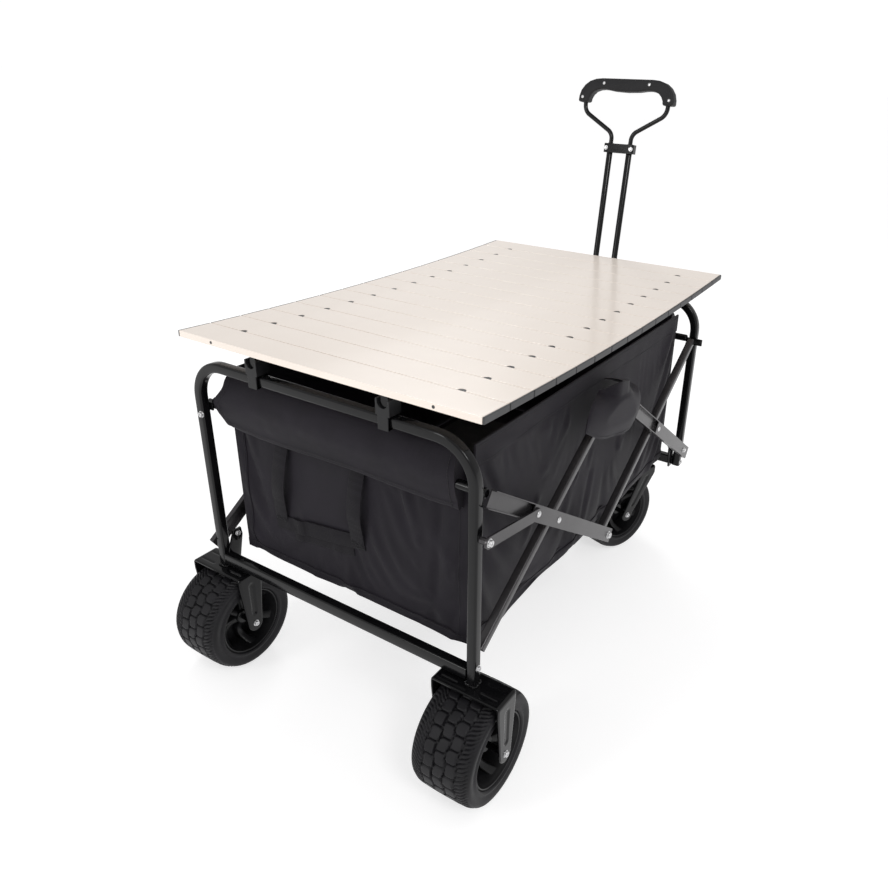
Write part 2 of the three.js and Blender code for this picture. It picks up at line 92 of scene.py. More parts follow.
TABLE_RAIL_Y, TABLE_RAIL_R = 123.0, 8.0
HANDLE_X, HANDLE_Z, HANDLE_LEAN = 417.0, 205.0, math.radians(7.5)
ROD_Y, ROD_R, INNER_ROD_R, CLAMP_T, GRIP_TOP = 23.0, 6.5, 4.7, 650.0, 785.0
SIDES = (("left", 1), ("right", -1))

# ---- camera --------------------------------------------------------------------------------
CAMERA_AT = Vector((-1.1456, -0.7293, 0.9895))
CAMERA_YAW, CAMERA_DOWN, CAMERA_ROLL = math.radians(31.271), math.radians(25.081), math.radians(1.817)


def make_camera():
    forward = Vector((math.cos(CAMERA_DOWN) * math.cos(CAMERA_YAW),
                      math.cos(CAMERA_DOWN) * math.sin(CAMERA_YAW), -math.sin(CAMERA_DOWN)))
    level = Vector((math.sin(CAMERA_YAW), -math.cos(CAMERA_YAW), 0))
    upright = level.cross(forward)
    c, s = math.cos(CAMERA_ROLL), math.sin(CAMERA_ROLL)
    right, up = c * level + s * upright, c * upright - s * level
    data = bpy.data.cameras.new("camera")
    data.sensor_width, data.lens = 36.0, 31.04
    data.shift_x, data.shift_y = -0.069, -0.0148
    camera = bpy.data.objects.new("camera", data)
    turn = Matrix((right, up, -forward)).transposed().to_4x4()
    camera.matrix_world = Matrix.Translation(CAMERA_AT) @ turn
    bpy.context.scene.collection.objects.link(camera)
    bpy.context.scene.camera = camera


make_camera()


# ---- materials -------------------------------------------------------------------------------
def node_link(tree, source, output, target, socket):
    tree.links.new(source.outputs[output], target.inputs[socket])


def add_node(tree, kind, **values):
    node = tree.nodes.new(kind)
    for key, value in values.items():
        if key in node.inputs:
            node.inputs[key].default_value = value
        else:
            setattr(node, key, value)
    return node


def new_material(name, **sockets):
    """A Principled material, with its object-space coordinates node."""
    material = bpy.data.materials.new(name)
    material.use_nodes = True
    shader = material.node_tree.nodes["Principled BSDF"]
    for key, value in sockets.items():
        shader.inputs[key.replace("_", " ")].default_value = value
    coords = material.node_tree.nodes.new("ShaderNodeTexCoord")
    return material, material.node_tree, shader, coords


def mottle(tree, coords, shader, low, high, scale, roughness, detail=4.0):
    """Colour between low and high, and roughness between the pair, by one soft noise."""
    pattern = add_node(tree, "ShaderNodeTexNoise", Scale=scale, Detail=detail, Roughness=0.55)
    node_link(tree, coords, "Object", pattern, "Vector")
    ramp = tree.nodes.new("ShaderNodeValToRGB")
    ramp.color_ramp.elements[0].position, ramp.color_ramp.elements[1].position = 0.3, 0.72
    ramp.color_ramp.elements[0].color = (*low, 1)
    ramp.color_ramp.elements[1].color = (*high, 1)
    node_link(tree, pattern, "Fac", ramp, "Fac")
    node_link(tree, ramp, "Color", shader, "Base Color")
    spread = tree.nodes.new("ShaderNodeMapRange")
    spread.inputs["To Min"].default_value, spread.inputs["To Max"].default_value = roughness
    node_link(tree, pattern, "Fac", spread, "Value")
    node_link(tree, spread, "Result", shader, "Roughness")
    return ramp


def grain_bump(tree, coords, shader, scale, strength, distance, detail=3.0):
    grain = add_node(tree, "ShaderNodeTexNoise", Scale=scale, Detail=detail)
    node_link(tree, coords, "Object", grain, "Vector")
    bump = add_node(tree, "ShaderNodeBump", Strength=strength, Distance=distance)
    node_link(tree, grain, "Fac", bump, "Height")
    node_link(tree, bump, "Normal", shader, "Normal")
    return bump


def simple_finish(name, low, high, scale, roughness, bump=None, **sockets):
    material, tree, shader, coords = new_material(name, **sockets)
    mottle(tree, coords, shader, low, high, scale, roughness)
    if bump:
        grain_bump(tree, coords, shader, *bump)
    return material


def woven(name, low, high, roughness, rows_per_m, depth, diagonal, **sockets):
    """Cloth: warp and weft as two crossed bands, over uneven dye and dust."""
    material, tree, shader, coords = new_material(name, **sockets)
    ramp = mottle(tree, coords, shader, low, high, 14.0, roughness, detail=8.0)
    turn = tree.nodes.new("ShaderNodeMapping")
    turn.inputs["Rotation"].default_value = (0, 0, math.radians(45) if diagonal else 0)
    node_link(tree, coords, "Object", turn, "Vector")
    bands = []
    for direction in ("X", "Z"):
        band = add_node(tree, "ShaderNodeTexWave", Scale=rows_per_m / 6.2832 * 2, Distortion=0.6)
        band.bands_direction = direction
        node_link(tree, turn, "Vector", band, "Vector")
        bands.append(band)
    weave = tree.nodes.new("ShaderNodeMath")
    weave.operation = "MULTIPLY"
    tree.links.new(bands[0].outputs["Fac"], weave.inputs[0])
    tree.links.new(bands[1].outputs["Fac"], weave.inputs[1])
    darken = tree.nodes.new("ShaderNodeMix")
    darken.data_type, darken.blend_type = "RGBA", "MULTIPLY"
    darken.inputs["Factor"].default_value = 0.35
    tree.links.new(ramp.outputs["Color"], darken.inputs["A"])
    tree.links.new(weave.outputs["Value"], darken.inputs["B"])
    tree.links.new(darken.outputs["Result"], shader.inputs["Base Color"])
    bump = add_node(tree, "ShaderNodeBump", Strength=0.5, Distance=depth)
    tree.links.new(weave.outputs["Value"], bump.inputs["Height"])
    node_link(tree, bump, "Normal", shader, "Normal")
    return material


GLOSS = simple_finish("gloss_black_coat", (0.0022, 0.0022, 0.0026), (0.0045, 0.0045, 0.005), 30, (0.12, 0.2),
                      (900, 0.1, 0.0002), Specular_IOR_Level=0.2, Coat_Weight=0.12, Coat_Roughness=0.06)
GREY = simple_finish("grey_coat", (0.034, 0.032, 0.034), (0.055, 0.052, 0.055), 22, (0.2, 0.3),
                     (1400, 0.15, 0.0002), Metallic=0.5, Specular_IOR_Level=0.5)
ZINC = simple_finish("zinc_plate", (0.5, 0.5, 0.51), (0.72, 0.72, 0.72), 260, (0.22, 0.4),
                     (1800, 0.2, 0.0002), Metallic=1.0)
TYRE = simple_finish("tyre_rubber", (0.0048, 0.0045, 0.0056), (0.0095, 0.009, 0.011), 35, (0.42, 0.6),
                     (1500, 0.3, 0.0003), Specular_IOR_Level=0.22)
PLASTIC = simple_finish("black_plastic", (0.004, 0.004, 0.0045), (0.009, 0.009, 0.01), 45, (0.3, 0.44),
                        (1600, 0.25, 0.0002), Specular_IOR_Level=0.3)
CAP = simple_finish("grey_plastic", (0.03, 0.03, 0.032), (0.05, 0.05, 0.053), 60, (0.45, 0.6),
                    (1500, 0.3, 0.0002))
GRIP = simple_finish("grip_rubber", (0.007, 0.007, 0.008), (0.012, 0.012, 0.0135), 50, (0.45, 0.6),
                     (2600, 0.5, 0.0004), Specular_IOR_Level=0.3)
BOARD = simple_finish("board", (0.03, 0.03, 0.032), (0.05, 0.05, 0.052), 40, (0.7, 0.85), (700, 0.3, 0.0004))
THREAD = simple_finish("thread", (0.01, 0.01, 0.011), (0.02, 0.02, 0.022), 400, (0.6, 0.8))
IVORY = simple_finish("ivory_coat", (0.84, 0.752, 0.672), (0.885, 0.8, 0.722), 5, (0.2, 0.3),
                      (1100, 0.1, 0.0002), Coat_Weight=0.35, Coat_Roughness=0.12)
FABRIC = woven("black_polyester", (0.0092, 0.0072, 0.0116), (0.0175, 0.0145, 0.0212), (0.52, 0.7),
               700, 0.0003, True, Specular_IOR_Level=0.13, Sheen_Weight=0.05, Sheen_Roughness=0.5)
WEBBING = woven("black_webbing", (0.0052, 0.0042, 0.0064), (0.0105, 0.0088, 0.0126), (0.5, 0.7), 420, 0.0006,
                False, Specular_IOR_Level=0.12, Sheen_Weight=0.05, Sheen_Roughness=0.5)


# ---- mesh making -------------------------------------------------------------------------------
class Shape:
    """Vertices in mm and faces, gathered from several solids."""

    def __init__(self):
        self.points, self.faces = [], []

    def solid(self):
        return self.points, self.faces

    def add(self, solid, place=None):
        points, faces = solid
        start = len(self.points)
        self.points += [place @ Vector(p) if place else Vector(p) for p in points]
        self.faces += [[i + start for i in face] for face in faces]
        return self


def finish_mesh(mesh, material, sharp):
    mesh.materials.clear()
    mesh.materials.append(material)
    mesh.shade_smooth()
    mesh.set_sharp_from_angle(angle=math.radians(sharp))


def even_shading(piece):
    """Lets the large flat faces decide the shading, so that a rounded edge doesn't tint them."""
    modifier = piece.modifiers.new("even_shading", "WEIGHTED_NORMAL")
    modifier.keep_sharp, modifier.weight = True, 90
    return piece


def new_object(name, mesh, body=None, material=None):
    piece = bpy.data.objects.new(name, mesh)
    bpy.context.scene.collection.objects.link(piece)
    if body:
        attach(piece, body)
    return piece


def piece_of(name, shape, material, body, sharp=38):
    """A new piece from a Shape, in the row frame."""
    mesh = bpy.data.meshes.new(name)
    mesh.from_pydata([p * MM for p in shape.points], [], shape.faces)
    mesh.validate()
    work = bmesh.new()
    work.from_mesh(mesh)
    bmesh.ops.recalc_face_normals(work, faces=work.faces)
    work.to_mesh(mesh)
    work.free()
    finish_mesh(mesh, material, sharp)
    return new_object(name, mesh, body, material)


def ring_faces(rings, count, closed=True, wrap=False):
    """Quads between consecutive rings of count points each."""
    faces = []
    last = rings if wrap else rings - 1
    for i in range(last):
        for j in range(count if closed else count - 1):
            a, b = i * count, ((i + 1) % rings) * count
            k = (j + 1) % count
            faces.append([a + j, a + k, b + k, b + j])
    return faces


def lathe(profile, segments=32, closed=False):
    """A solid turned about local Z from (radius, height) pairs; open profiles start and end on the axis."""
    body = profile if closed else profile[1:-1]
    points = []
    for k in range(segments):
        a = 2 * math.pi * k / segments
        points += [(r * math.cos(a), r * math.sin(a), h) for r, h in body]
    faces = ring_faces(segments, len(body), closed=closed, wrap=True)
    if not closed:
        first, last = len(points), len(points) + 1
        points += [(0, 0, profile[0][1]), (0, 0, profile[-1][1])]
        for k in range(segments):
            a, b = k * len(body), ((k + 1) % segments) * len(body)
            faces += [[first, a, b], [last, b + len(body) - 1, a + len(body) - 1]]
    return points, faces


def round_section(radius, sides=20):
    return [(radius * math.cos(2 * math.pi * k / sides), radius * math.sin(2 * math.pi * k / sides))
            for k in range(sides)]


def box_section(width, height, radius, steps=4):
    points = []
    for cx, cy, start in ((1, 1, 0), (-1, 1, 90), (-1, -1, 180), (1, -1, 270)):
        for k in range(steps + 1):
            a = math.radians(start + 90 * k / steps)
            points.append((cx * (width / 2 - radius) + radius * math.cos(a),
                           cy * (height / 2 - radius) + radius * math.sin(a)))
    return points


def sweep(path, section, normal=None):
    """The section carried along the path; its first axis stays along normal where one is given."""
    path = [Vector(p) for p in path]
    points, side = [], None
    for i, here in enumerate(path):
        tangent = (path[min(i + 1, len(path) - 1)] - path[max(i - 1, 0)]).normalized()
        reference = Vector(normal) if normal else side or tangent.orthogonal()
        side = (reference - tangent * reference.dot(tangent)).normalized()
        other = tangent.cross(side)
        points += [here + side * a + other * b for a, b in section]
    n = len(section)
    faces = ring_faces(len(path), n)
    faces += [list(range(n))[::-1], [(len(path) - 1) * n + k for k in range(n)]]
    return points, faces


def bent(corners, steps=14):
    """A path through corners (x, y, z, bend radius)."""
    at = [Vector(c[:3]) for c in corners]
    path = [at[0]]
    for i in range(1, len(at) - 1):
        radius = corners[i][3]
        back, on = (at[i - 1] - at[i]).normalized(), (at[i + 1] - at[i]).normalized()
        half = back.angle(on) / 2
        centre = at[i] + (back + on).normalized() * (radius / math.sin(half))
        start = at[i] + back * (radius / math.tan(half)) - centre
        end = at[i] + on * (radius / math.tan(half)) - centre
        turn = math.pi - 2 * half
        for k in range(steps + 1):
            f = k / steps
            path.append(centre + start * (math.sin((1 - f) * turn) / math.sin(turn))
                        + end * (math.sin(f * turn) / math.sin(turn)))
    path.append(at[-1])
    return path


def prism(outline, low, high, bevel=0.0, segments=2, axis="Z"):
    """An outline raised from low to high along an axis, with rounded edges."""
    work = bmesh.new()
    ring = [work.verts.new((x, y, low)) for x, y in outline]
    face = work.faces.new(ring)
    raised = bmesh.ops.extrude_face_region(work, geom=[face])
    for element in raised["geom"]:
        if isinstance(element, bmesh.types.BMVert):
            element.co.z = high
    bmesh.ops.recalc_face_normals(work, faces=work.faces)
    if bevel:
        edges = [e for e in work.edges if e.calc_face_angle(0) > math.radians(28)]
        bmesh.ops.bevel(work, geom=edges, offset=bevel, segments=segments, profile=0.5, affect="EDGES",
                        clamp_overlap=True)
    points = [v.co.copy() for v in work.verts]
    work.verts.index_update()
    faces = [[v.index for v in f.verts] for f in work.faces]
    work.free()
    order = {"Z": lambda p: p, "Y": lambda p: Vector((p.x, p.z, p.y)), "X": lambda p: Vector((p.z, p.x, p.y))}
    return [order[axis](p) for p in points], faces


def block(x0, x1, y0, y1, z0, z1, bevel=0.8, segments=2):
    return prism([(x0, y0), (x1, y0), (x1, y1), (x0, y1)], z0, z1, bevel, segments)


def pointing(position, direction):
    """Places a solid made about local Z at a position, with Z along the direction."""
    turn = Vector(direction).to_track_quat("Z", "Y").to_matrix().to_4x4()
    return Matrix.Translation(Vector(position)) @ turn


def softened(node, material, bevel=0.6, segments=2, name=None, angle=28, sharp=38):
    """A copy of a CAD node with its edges rounded, which stands for the node."""
    mesh = frame["nodes"][node].data.copy()
    work = bmesh.new()
    work.from_mesh(mesh)
    bmesh.ops.remove_doubles(work, verts=work.verts, dist=1e-5)
    bmesh.ops.dissolve_limit(work, angle_limit=math.radians(2), verts=work.verts, edges=work.edges)
    edges = [e for e in work.edges if len(e.link_faces) == 2 and e.calc_face_angle(0) > math.radians(angle)]
    if bevel:
        bmesh.ops.bevel(work, geom=edges, offset=bevel * MM, segments=segments, profile=0.5, affect="EDGES",
                        clamp_overlap=True)
    bmesh.ops.recalc_face_normals(work, faces=work.faces)
    work.to_mesh(mesh)
    work.free()
    while mesh.attributes.get("custom_normal"):
        mesh.attributes.remove(mesh.attributes["custom_normal"])
    finish_mesh(mesh, material, sharp)
    piece = new_object(name or f"{node}_coated", mesh, frame["nodes"][node]["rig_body"], material)
    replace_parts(piece, node)
    return even_shading(piece)


def body_of_node(node):
    return frame["nodes"][node]["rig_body"]


# ---- frame tubes --------------------------------------------------------------------------------
FASTENERS = {}


def fastener(body, position, direction, kind="rivet", size=1.0):
    """Gathers a rivet, bolt or screw head; its axis points out of the metal."""
    heads = {
        "rivet": [(0, -1.5), (4.6, -1.5), (4.6, 0), (4.2, 0.9), (3.0, 1.7), (1.5, 2.1), (0, 2.2)],
        "bolt": [(0, -1.5), (6.6, -1.5), (6.6, 0), (6.3, 0.5), (4.9, 0.6), (4.9, 3.6), (4.5, 4.1), (2.2, 4.1),
                 (1.9, 3.2), (0, 3.2)],
        "screw": [(0, -1), (3.4, -1), (3.4, 0), (3.1, 1.0), (2.2, 1.5), (1.3, 1.6), (1.1, 0.9), (0, 0.9)],
    }
    profile = [(r * size, h * size) for r, h in heads[kind]]
    shape = FASTENERS.setdefault(body, Shape())
    shape.add(lathe(profile, 24), pointing(position, direction))


def hoop_path(x, foot):
    top = HOOP_TOP - TUBE / 2
    return bent([(x, -LEG_Y, foot), (x, -LEG_Y, top, HOOP_BEND),
                 (x, LEG_Y, top, HOOP_BEND), (x, LEG_Y, foot)])


def ear(x, direction, side):
    low = RAIL_Z - RAIL_H / 2
    outline = [(0, low), (22, low), (32, PIVOT_LOW_Z - 6),
               (30, PIVOT_LOW_Z + 8), (14, PIVOT_LOW_Z + 8), (0, low + 24)]
    y = side * 251
    return prism([(x + direction * a, b) for a, b in outline], y - 2, y + 2, 0.9, 2, "Y")


def weld_ring(x, y, z, half):
    """A lumpy bead round the foot of a square tube."""
    ring, count = [], 64
    for k in range(count):
        a = 2 * math.pi * k / count
        reach = half / max(abs(math.cos(a)), abs(math.sin(a)))
        reach = min(reach, half * 1.25)
        ring.append(Vector((x + reach * math.cos(a), y + reach * math.sin(a), z)))
    points, sides = [], 8
    for k, centre in enumerate(ring):
        out = (centre - Vector((x, y, z))).normalized()
        radius = 2.0 + 0.55 * math.sin(k * 2.1) + 0.4 * math.sin(k * 0.83 + y)
        for j in range(sides):
            b = 2 * math.pi * j / sides
            points.append(centre + out * radius * math.cos(b) + Vector((0, 0, radius * math.sin(b))))
    return points, ring_faces(count, sides, wrap=True)


def make_hoops():
    for name, x, foot, body in (("rear_hoop", REAR_X, PLATE_TOP + 0.3, "rear_frame"),
                                ("front_hoop", FRONT_X, RAIL_Z - RAIL_H / 2, "front_frame")):
        shape = Shape().add(sweep(hoop_path(x, foot), box_section(TUBE, TUBE, 3.6, 5), (1, 0, 0)))
        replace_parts(piece_of(f"{name}_tube", shape, GLOSS, body, 45), name)


def make_cross_rails():
    half = LEG_Y - TUBE / 2 - 0.3
    section = box_section(TUBE, RAIL_H, 2.6, 4)
    for name, x, inward, body in (("rear", REAR_X, 1, "rear_frame"), ("front", FRONT_X, -1, "front_frame")):
        shape = Shape().add(sweep([(x, -half, RAIL_Z), (x, half, RAIL_Z)], section, (1, 0, 0)))
        for _, side in SIDES:
            shape.add(ear(x, inward, side))
            if name == "front":
                y = side * CASTER_Y
                shape.add(block(CASTER_X - 26, FRONT_X + 4, y - 26, y + 26, 195.5, RAIL_Z - 9, 1.2, 2))
                shape.add(lathe([(0, 196), (15, 196), (15, 203), (13, 205.5), (8, 206.5), (0, 206.5)], 28),
                          Matrix.Translation((CASTER_X - 8, y, 0)))
                for dx in (-20, 8):
                    fastener(body, (CASTER_X + dx, y + 19, RAIL_Z - 8.9), (0, 0, 1), "screw")
                    fastener(body, (CASTER_X + dx, y - 19, RAIL_Z - 8.9), (0, 0, 1), "screw")
            else:
                shape.add(weld_ring(x, side * LEG_Y, PLATE_TOP + 1.2, 8.6))
            fastener(body, (x + inward * 22, side * 248.8, PIVOT_LOW_Z), (0, -side, 0), "bolt", 0.8)
            # Where a rising bar's low end lies against the leg, the leg's bolt sits below it.
            bolt_z = RAIL_Z + (14 if inward * side < 0 else -2)
            fastener(body, (x, side * (LEG_Y + 8), bolt_z), (0, side, 0), "bolt", 0.8)
        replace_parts(piece_of(f"{name}_cross_rail_tube", shape, GLOSS, body, 42), f"{name}_cross_rail")


def make_end_rails():
    long, short = LEG_Y + 6, 253.0
    for name, x, y0, y1, body in (("rear_end_rail", REAR_X + END_RAIL_OFF, -long, short, "rear_frame"),
                                  ("front_end_rail", FRONT_X - END_RAIL_OFF, -short, long, "front_frame")):
        rod = [(0, y0), (5.5, y0), (END_RAIL_R, y0 + 1.5), (END_RAIL_R, y1 - 1.5), (5.5, y1), (0, y1)]
        shape = Shape().add(lathe(rod, 28), pointing((x, 0, END_RAIL_Z), (0, 1, 0)))
        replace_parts(piece_of(f"{name}_rod", shape, GLOSS, body), name)
    # A flat bracket and a bolt hold each rail's short end to the leg.
    for end, x, out, side, body in (("rear", REAR_X, -1, 1, "rear_frame"),
                                    ("front", FRONT_X, 1, -1, "front_frame")):
        x0, x1 = sorted((x - out * 8.4, x - out * 11.2))
        y0, y1 = sorted((side * 250, side * 284))
        bracket = Shape().add(block(x0, x1, y0, y1, 486, 500, 0.8))
        piece_of(f"{end}_rail_bracket", bracket, GLOSS, body)
        fastener(body, (x + out * 8, side * 258, 484), (out, 0, 0), "bolt", 0.85)


def smooth(t):
    t = min(max(t, 0.0), 1.0)
    return t * t * (3 - 2 * t)


# ---- forks and wheels ------------------------------------------------------------------------------
def dent(distance, reach, soft):
    """1 inside the reach, 0 outside, with a soft edge."""
    return smooth((reach - distance) / soft + 0.5)


def capsule(px, py, x0, y0, x1, y1):
    """Distance from a point to a segment."""
    dx, dy = x1 - x0, y1 - y0
    t = min(max(((px - x0) * dx + (py - y0) * dy) / (dx * dx + dy * dy), 0), 1)
    return math.hypot(px - x0 - t * dx, py - y0 - t * dy)


def fork_mesh(axle_x):
    """One bent strap: leg, plate, leg. Rows run along the strap and columns across its width."""
    half, tip, bend = FORK_W / 2, 15.0, 5.0
    leg = PLATE_TOP - bend - WHEEL_R
    arc = math.pi / 2 * bend
    total = 2 * (tip + leg + arc) + FORK_W - 2 * bend
    rows, columns = 170, 22

    def station(s):
        """(y, z, outward y, outward z, distance down the leg from the plate's top or None)."""
        mirrored = s > total / 2
        q = total - s if mirrored else s
        sign = 1 if mirrored else -1
        if q < tip + leg:
            z = WHEEL_R - tip + q
            return sign * half, z, sign, 0, PLATE_TOP - z
        q -= tip + leg
        if q < arc:
            a = q / bend
            return (sign * (half - bend + bend * math.cos(a)), PLATE_TOP - bend + bend * math.sin(a),
                    sign * math.cos(a), math.sin(a), bend - bend * math.sin(a))
        return sign * (half - bend - (q - arc)), PLATE_TOP, 0, 1, None

    outer, inner = [], []
    for i in range(rows + 1):
        s = total * i / rows
        s = min(max(s, 0.35), total - 0.35)
        y, z, oy, oz, down = station(s)
        left, right = -FORK_L / 2, FORK_L / 2
        if down is not None and down > 18:
            f = (down - 18) / (PLATE_TOP - 18 - WHEEL_R)
            f = min(f, 1)
            left += (axle_x - tip - left) * f
            right += (axle_x + tip - right) * f
        if z < WHEEL_R:
            reach = math.sqrt(max(tip ** 2 - (WHEEL_R - z) ** 2, 0.04))
            left, right = axle_x - reach, axle_x + reach
        for j in range(columns + 1):
            u = j / columns
            x = left + (right - left) * u
            push = 0.0
            if down is None:
                for gx in (-11, 11):
                    for gy in (-1, 1):
                        push = max(push, 1.3 * dent(capsule(x, y, gx, gy * 20, gx, gy * 49), 1.8, 1.6))
            elif down > 10:
                lean = axle_x * min(max((down - 18) / 86, 0), 1)
                push = 1.9 * dent(capsule(x - lean, z, 0, PLATE_TOP - 24, 0, WHEEL_R + 24), 4.6, 2.2)
            edge = min(u, 1 - u) * (right - left)
            rounding = 1.2 * (1 - min(edge / 1.6, 1)) ** 2
            depth = push + rounding
            outer.append((x, y - oy * depth, z - oz * depth))
            inner_push = STEEL - rounding * 0.6 + push * 0.6
            inner.append((x, y - oy * inner_push, z - oz * inner_push))
    n = columns + 1
    points = outer + inner
    base = len(outer)
    faces = ring_faces(rows + 1, n, closed=False)
    faces += [[base + k for k in face[::-1]] for face in faces]
    for i in range(rows):
        a, b = i * n, (i + 1) * n
        faces.append([a, b, base + b, base + a])
        faces.append([a + n - 1, base + a + n - 1, base + b + n - 1, b + n - 1])
    for j in range(columns):
        faces.append([j, base + j, base + j + 1, j + 1])
        a = rows * n
        faces.append([a + j, a + j + 1, base + a + j + 1, base + a + j])
    return points, faces


BLOCK_DEPTH, BLOCK_ROW, BLOCK_HALF = 3.8, 19.0, 28.5


def rounded_block_depth(around, y):
    """How deep the tread is cut, in mm, at a distance around the tyre and a place across it."""
    pitch = 2 * math.pi * WHEEL_R / 27
    across = y + 1.7 * math.sin(math.pi * around / pitch)
    if abs(across) < BLOCK_HALF:
        row = math.floor((across + BLOCK_HALF) / BLOCK_ROW)
        cx = -BLOCK_HALF + (row + 0.5) * BLOCK_ROW
        along = (around / pitch + 0.5 * (row % 2)) % 1.0 - 0.5
        px, py = abs(along) * pitch, abs(across - cx)
        hx, hy, corner = pitch / 2 - 0.8, BLOCK_ROW / 2 - 0.8, 4.5
        qx, qy = max(px - hx + corner, 0), max(py - hy + corner, 0)
        outside = math.hypot(qx, qy) - corner
        return BLOCK_DEPTH * smooth(outside / 1.2 + 0.6)
    edge = abs(across) - BLOCK_HALF
    if edge < 1.2:
        return BLOCK_DEPTH * (1 - edge / 1.2) + 0.3
    if abs(y) < 49.5:
        slope = 1 if y > 0 else -1
        step = pitch / 3
        phase = (around + 0.75 * slope * y + 1.4 * math.sin(y * 0.35)) / step
        sipe = abs((phase % 1.0) - 0.5) * step
        return 2.4 * dent(sipe, 1.0, 1.1) * smooth((49.5 - abs(y)) / 6) + 0.25
    return 0.0


def tyre_mesh():
    side = [(60.3, 46.5), (61.5, 49.0), (63.5, 50.2), (65.5, 49.9), (67.5, 48.6), (70.0, 48.7), (73.5, 50.2),
            (77.5, 51.0), (80.5, 50.9), (82.6, 50.0), (84.2, 48.5)]
    tread = []
    count = 58
    for k in range(count + 1):
        y = 47.0 * (1 - 2 * k / count)
        a = abs(y)
        crown = WHEEL_R - 0.00045 * a * a - (0 if a < 36 else 0.026 * (a - 36) ** 2)
        tread.append((crown, y))
    profile = side + tread + [(r, -y) for r, y in reversed(side)]
    profile += [(60.3, -30.0), (60.3, 0.0), (60.3, 30.0)]
    segments = 432
    points = []
    for k in range(segments):
        a = 2 * math.pi * k / segments
        for r, y in profile:
            depth = rounded_block_depth(a * WHEEL_R, y) if r > 83.5 else 0.0
            points.append(((r - depth) * math.cos(a), y, (r - depth) * math.sin(a)))
    return points, ring_faces(segments, len(profile), wrap=True)


def rim_mesh():
    shape = Shape()
    barrel = [(60.0, -46.6), (60.0, 46.6), (58.8, 47.4), (57.2, 46.6), (56.2, 42.0), (54.6, 38.0),
              (52.8, 10.0), (52.6, 3.0), (14.0, 4.5), (14.0, -4.5), (52.6, -3.0), (52.8, -10.0),
              (54.6, -38.0), (56.2, -42.0), (57.2, -46.6), (58.8, -47.4)]
    upright = Matrix.Rotation(math.radians(-90), 4, "X")
    shape.add(lathe(barrel, 96, closed=True), upright)
    hub = [(4.9, -27), (11.5, -27), (13, -25.5), (14.2, -8), (14.2, 8), (13, 25.5), (11.5, 27), (4.9, 27)]
    shape.add(lathe(hub, 48, closed=True), upright)
    # Six swept paddles on each face run from the hub out to the barrel.
    for face in (1, -1):
        for k in range(6):
            start = 2 * math.pi * k / 6 + (0.3 if face < 0 else 0)
            rings = []
            for i in range(13):
                f = i / 12
                r = 12.5 + (54.2 - 12.5) * f
                a = start + 0.32 * f * f
                wide = 5.2 + 3.4 * f * f
                front = 22.5 - 7.5 * math.sin(math.pi * f) + 15 * f ** 3
                low = 3.0
                across = Vector((-math.sin(a), 0, math.cos(a)))
                centre = Vector((r * math.cos(a), 0, r * math.sin(a)))
                section = [(-wide, low), (-wide, front - 3), (-wide + 1.2, front - 1), (-wide + 3.4, front),
                           (wide - 3.4, front), (wide - 1.2, front - 1), (wide, front - 3), (wide, low)]
                rings += [centre + across * a2 + Vector((0, face * h, 0)) for a2, h in section]
            faces = ring_faces(13, 8)
            faces += [list(range(8))[::-1], [12 * 8 + j for j in range(8)]]
            shape.add((rings, faces))
    return shape


def shared_mesh(name, shape, material, sharp):
    """A mesh in its own local place, for several objects."""
    piece = piece_of(name, shape, material, None, sharp)
    mesh = piece.data
    bpy.data.objects.remove(piece)
    return mesh


def place(name, mesh, matrix, body, material, *stands_for):
    piece = bpy.data.objects.new(name, mesh)
    bpy.context.scene.collection.objects.link(piece)
    matrix = matrix.copy()
    matrix.translation = matrix.translation * MM
    piece.matrix_world = matrix
    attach(piece, body)
    if stands_for:
        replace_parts(piece, *stands_for)
    return piece


def make_wheels():
    tyre = shared_mesh("tyre", Shape().add(tyre_mesh()), TYRE, 60)
    rim = shared_mesh("rim", rim_mesh(), PLASTIC, 40)
    forks = {"rear": shared_mesh("fixed_fork", Shape().add(fork_mesh(0)), GLOSS, 50),
             "front": shared_mesh("caster_fork", Shape().add(fork_mesh(-CASTER_TRAIL)), GLOSS, 50)}
    for side_name, side in SIDES:
        for end in ("rear", "front"):
            rear = end == "rear"
            base = Matrix.Translation((REAR_X, side * LEG_Y, 0)) if rear else \
                Matrix.Translation((CASTER_X, side * CASTER_Y, 0)) @ Matrix.Rotation(CASTER_TURN, 4, "Z")
            axle = base @ Matrix.Translation((0 if rear else -CASTER_TRAIL, 0, WHEEL_R))
            wheel_body = f"{end}_wheel_{side_name}"
            fork_body = "rear_frame" if rear else f"caster_{side_name}"
            fork_node = f"rear_fork_{side_name}" if rear else f"caster_fork_{side_name}"
            place(f"{end}_{side_name}_tyre_tread", tyre, axle, wheel_body, TYRE, f"{end}_{side_name}_tyre")
            place(f"{end}_{side_name}_rim_spoked", rim, axle, wheel_body, PLASTIC, f"{end}_{side_name}_rim")
            place(f"{fork_node}_strap", forks[end], base, fork_body, GLOSS, fork_node)
            turn = axle.to_3x3()
            for out in (1, -1):
                head = axle @ Vector((0, out * (FORK_W / 2 - 0.4), 0))
                fastener(fork_body, head, turn @ Vector((0, out, 0)), "bolt", 0.9)
            pin = [(0, -57), (5.2, -57), (5.2, -27.6), (4.4, -27.6), (4.4, 27.6), (5.2, 27.6), (5.2, 57), (0, 57)]
            sleeve = Shape().add(lathe(pin, 20),
                                 axle @ Matrix.Rotation(math.radians(-90), 4, "X"))
            if not rear:
                bearing = [(0, 190), (20, 190), (20.5, 191), (20.5, 193.5), (19.5, 195), (0, 195)]
                sleeve.add(lathe(bearing, 36),
                           Matrix.Translation((CASTER_X, side * CASTER_Y, 0)))
            piece_of(f"{end}_{side_name}_axle", sleeve, GLOSS, fork_body)


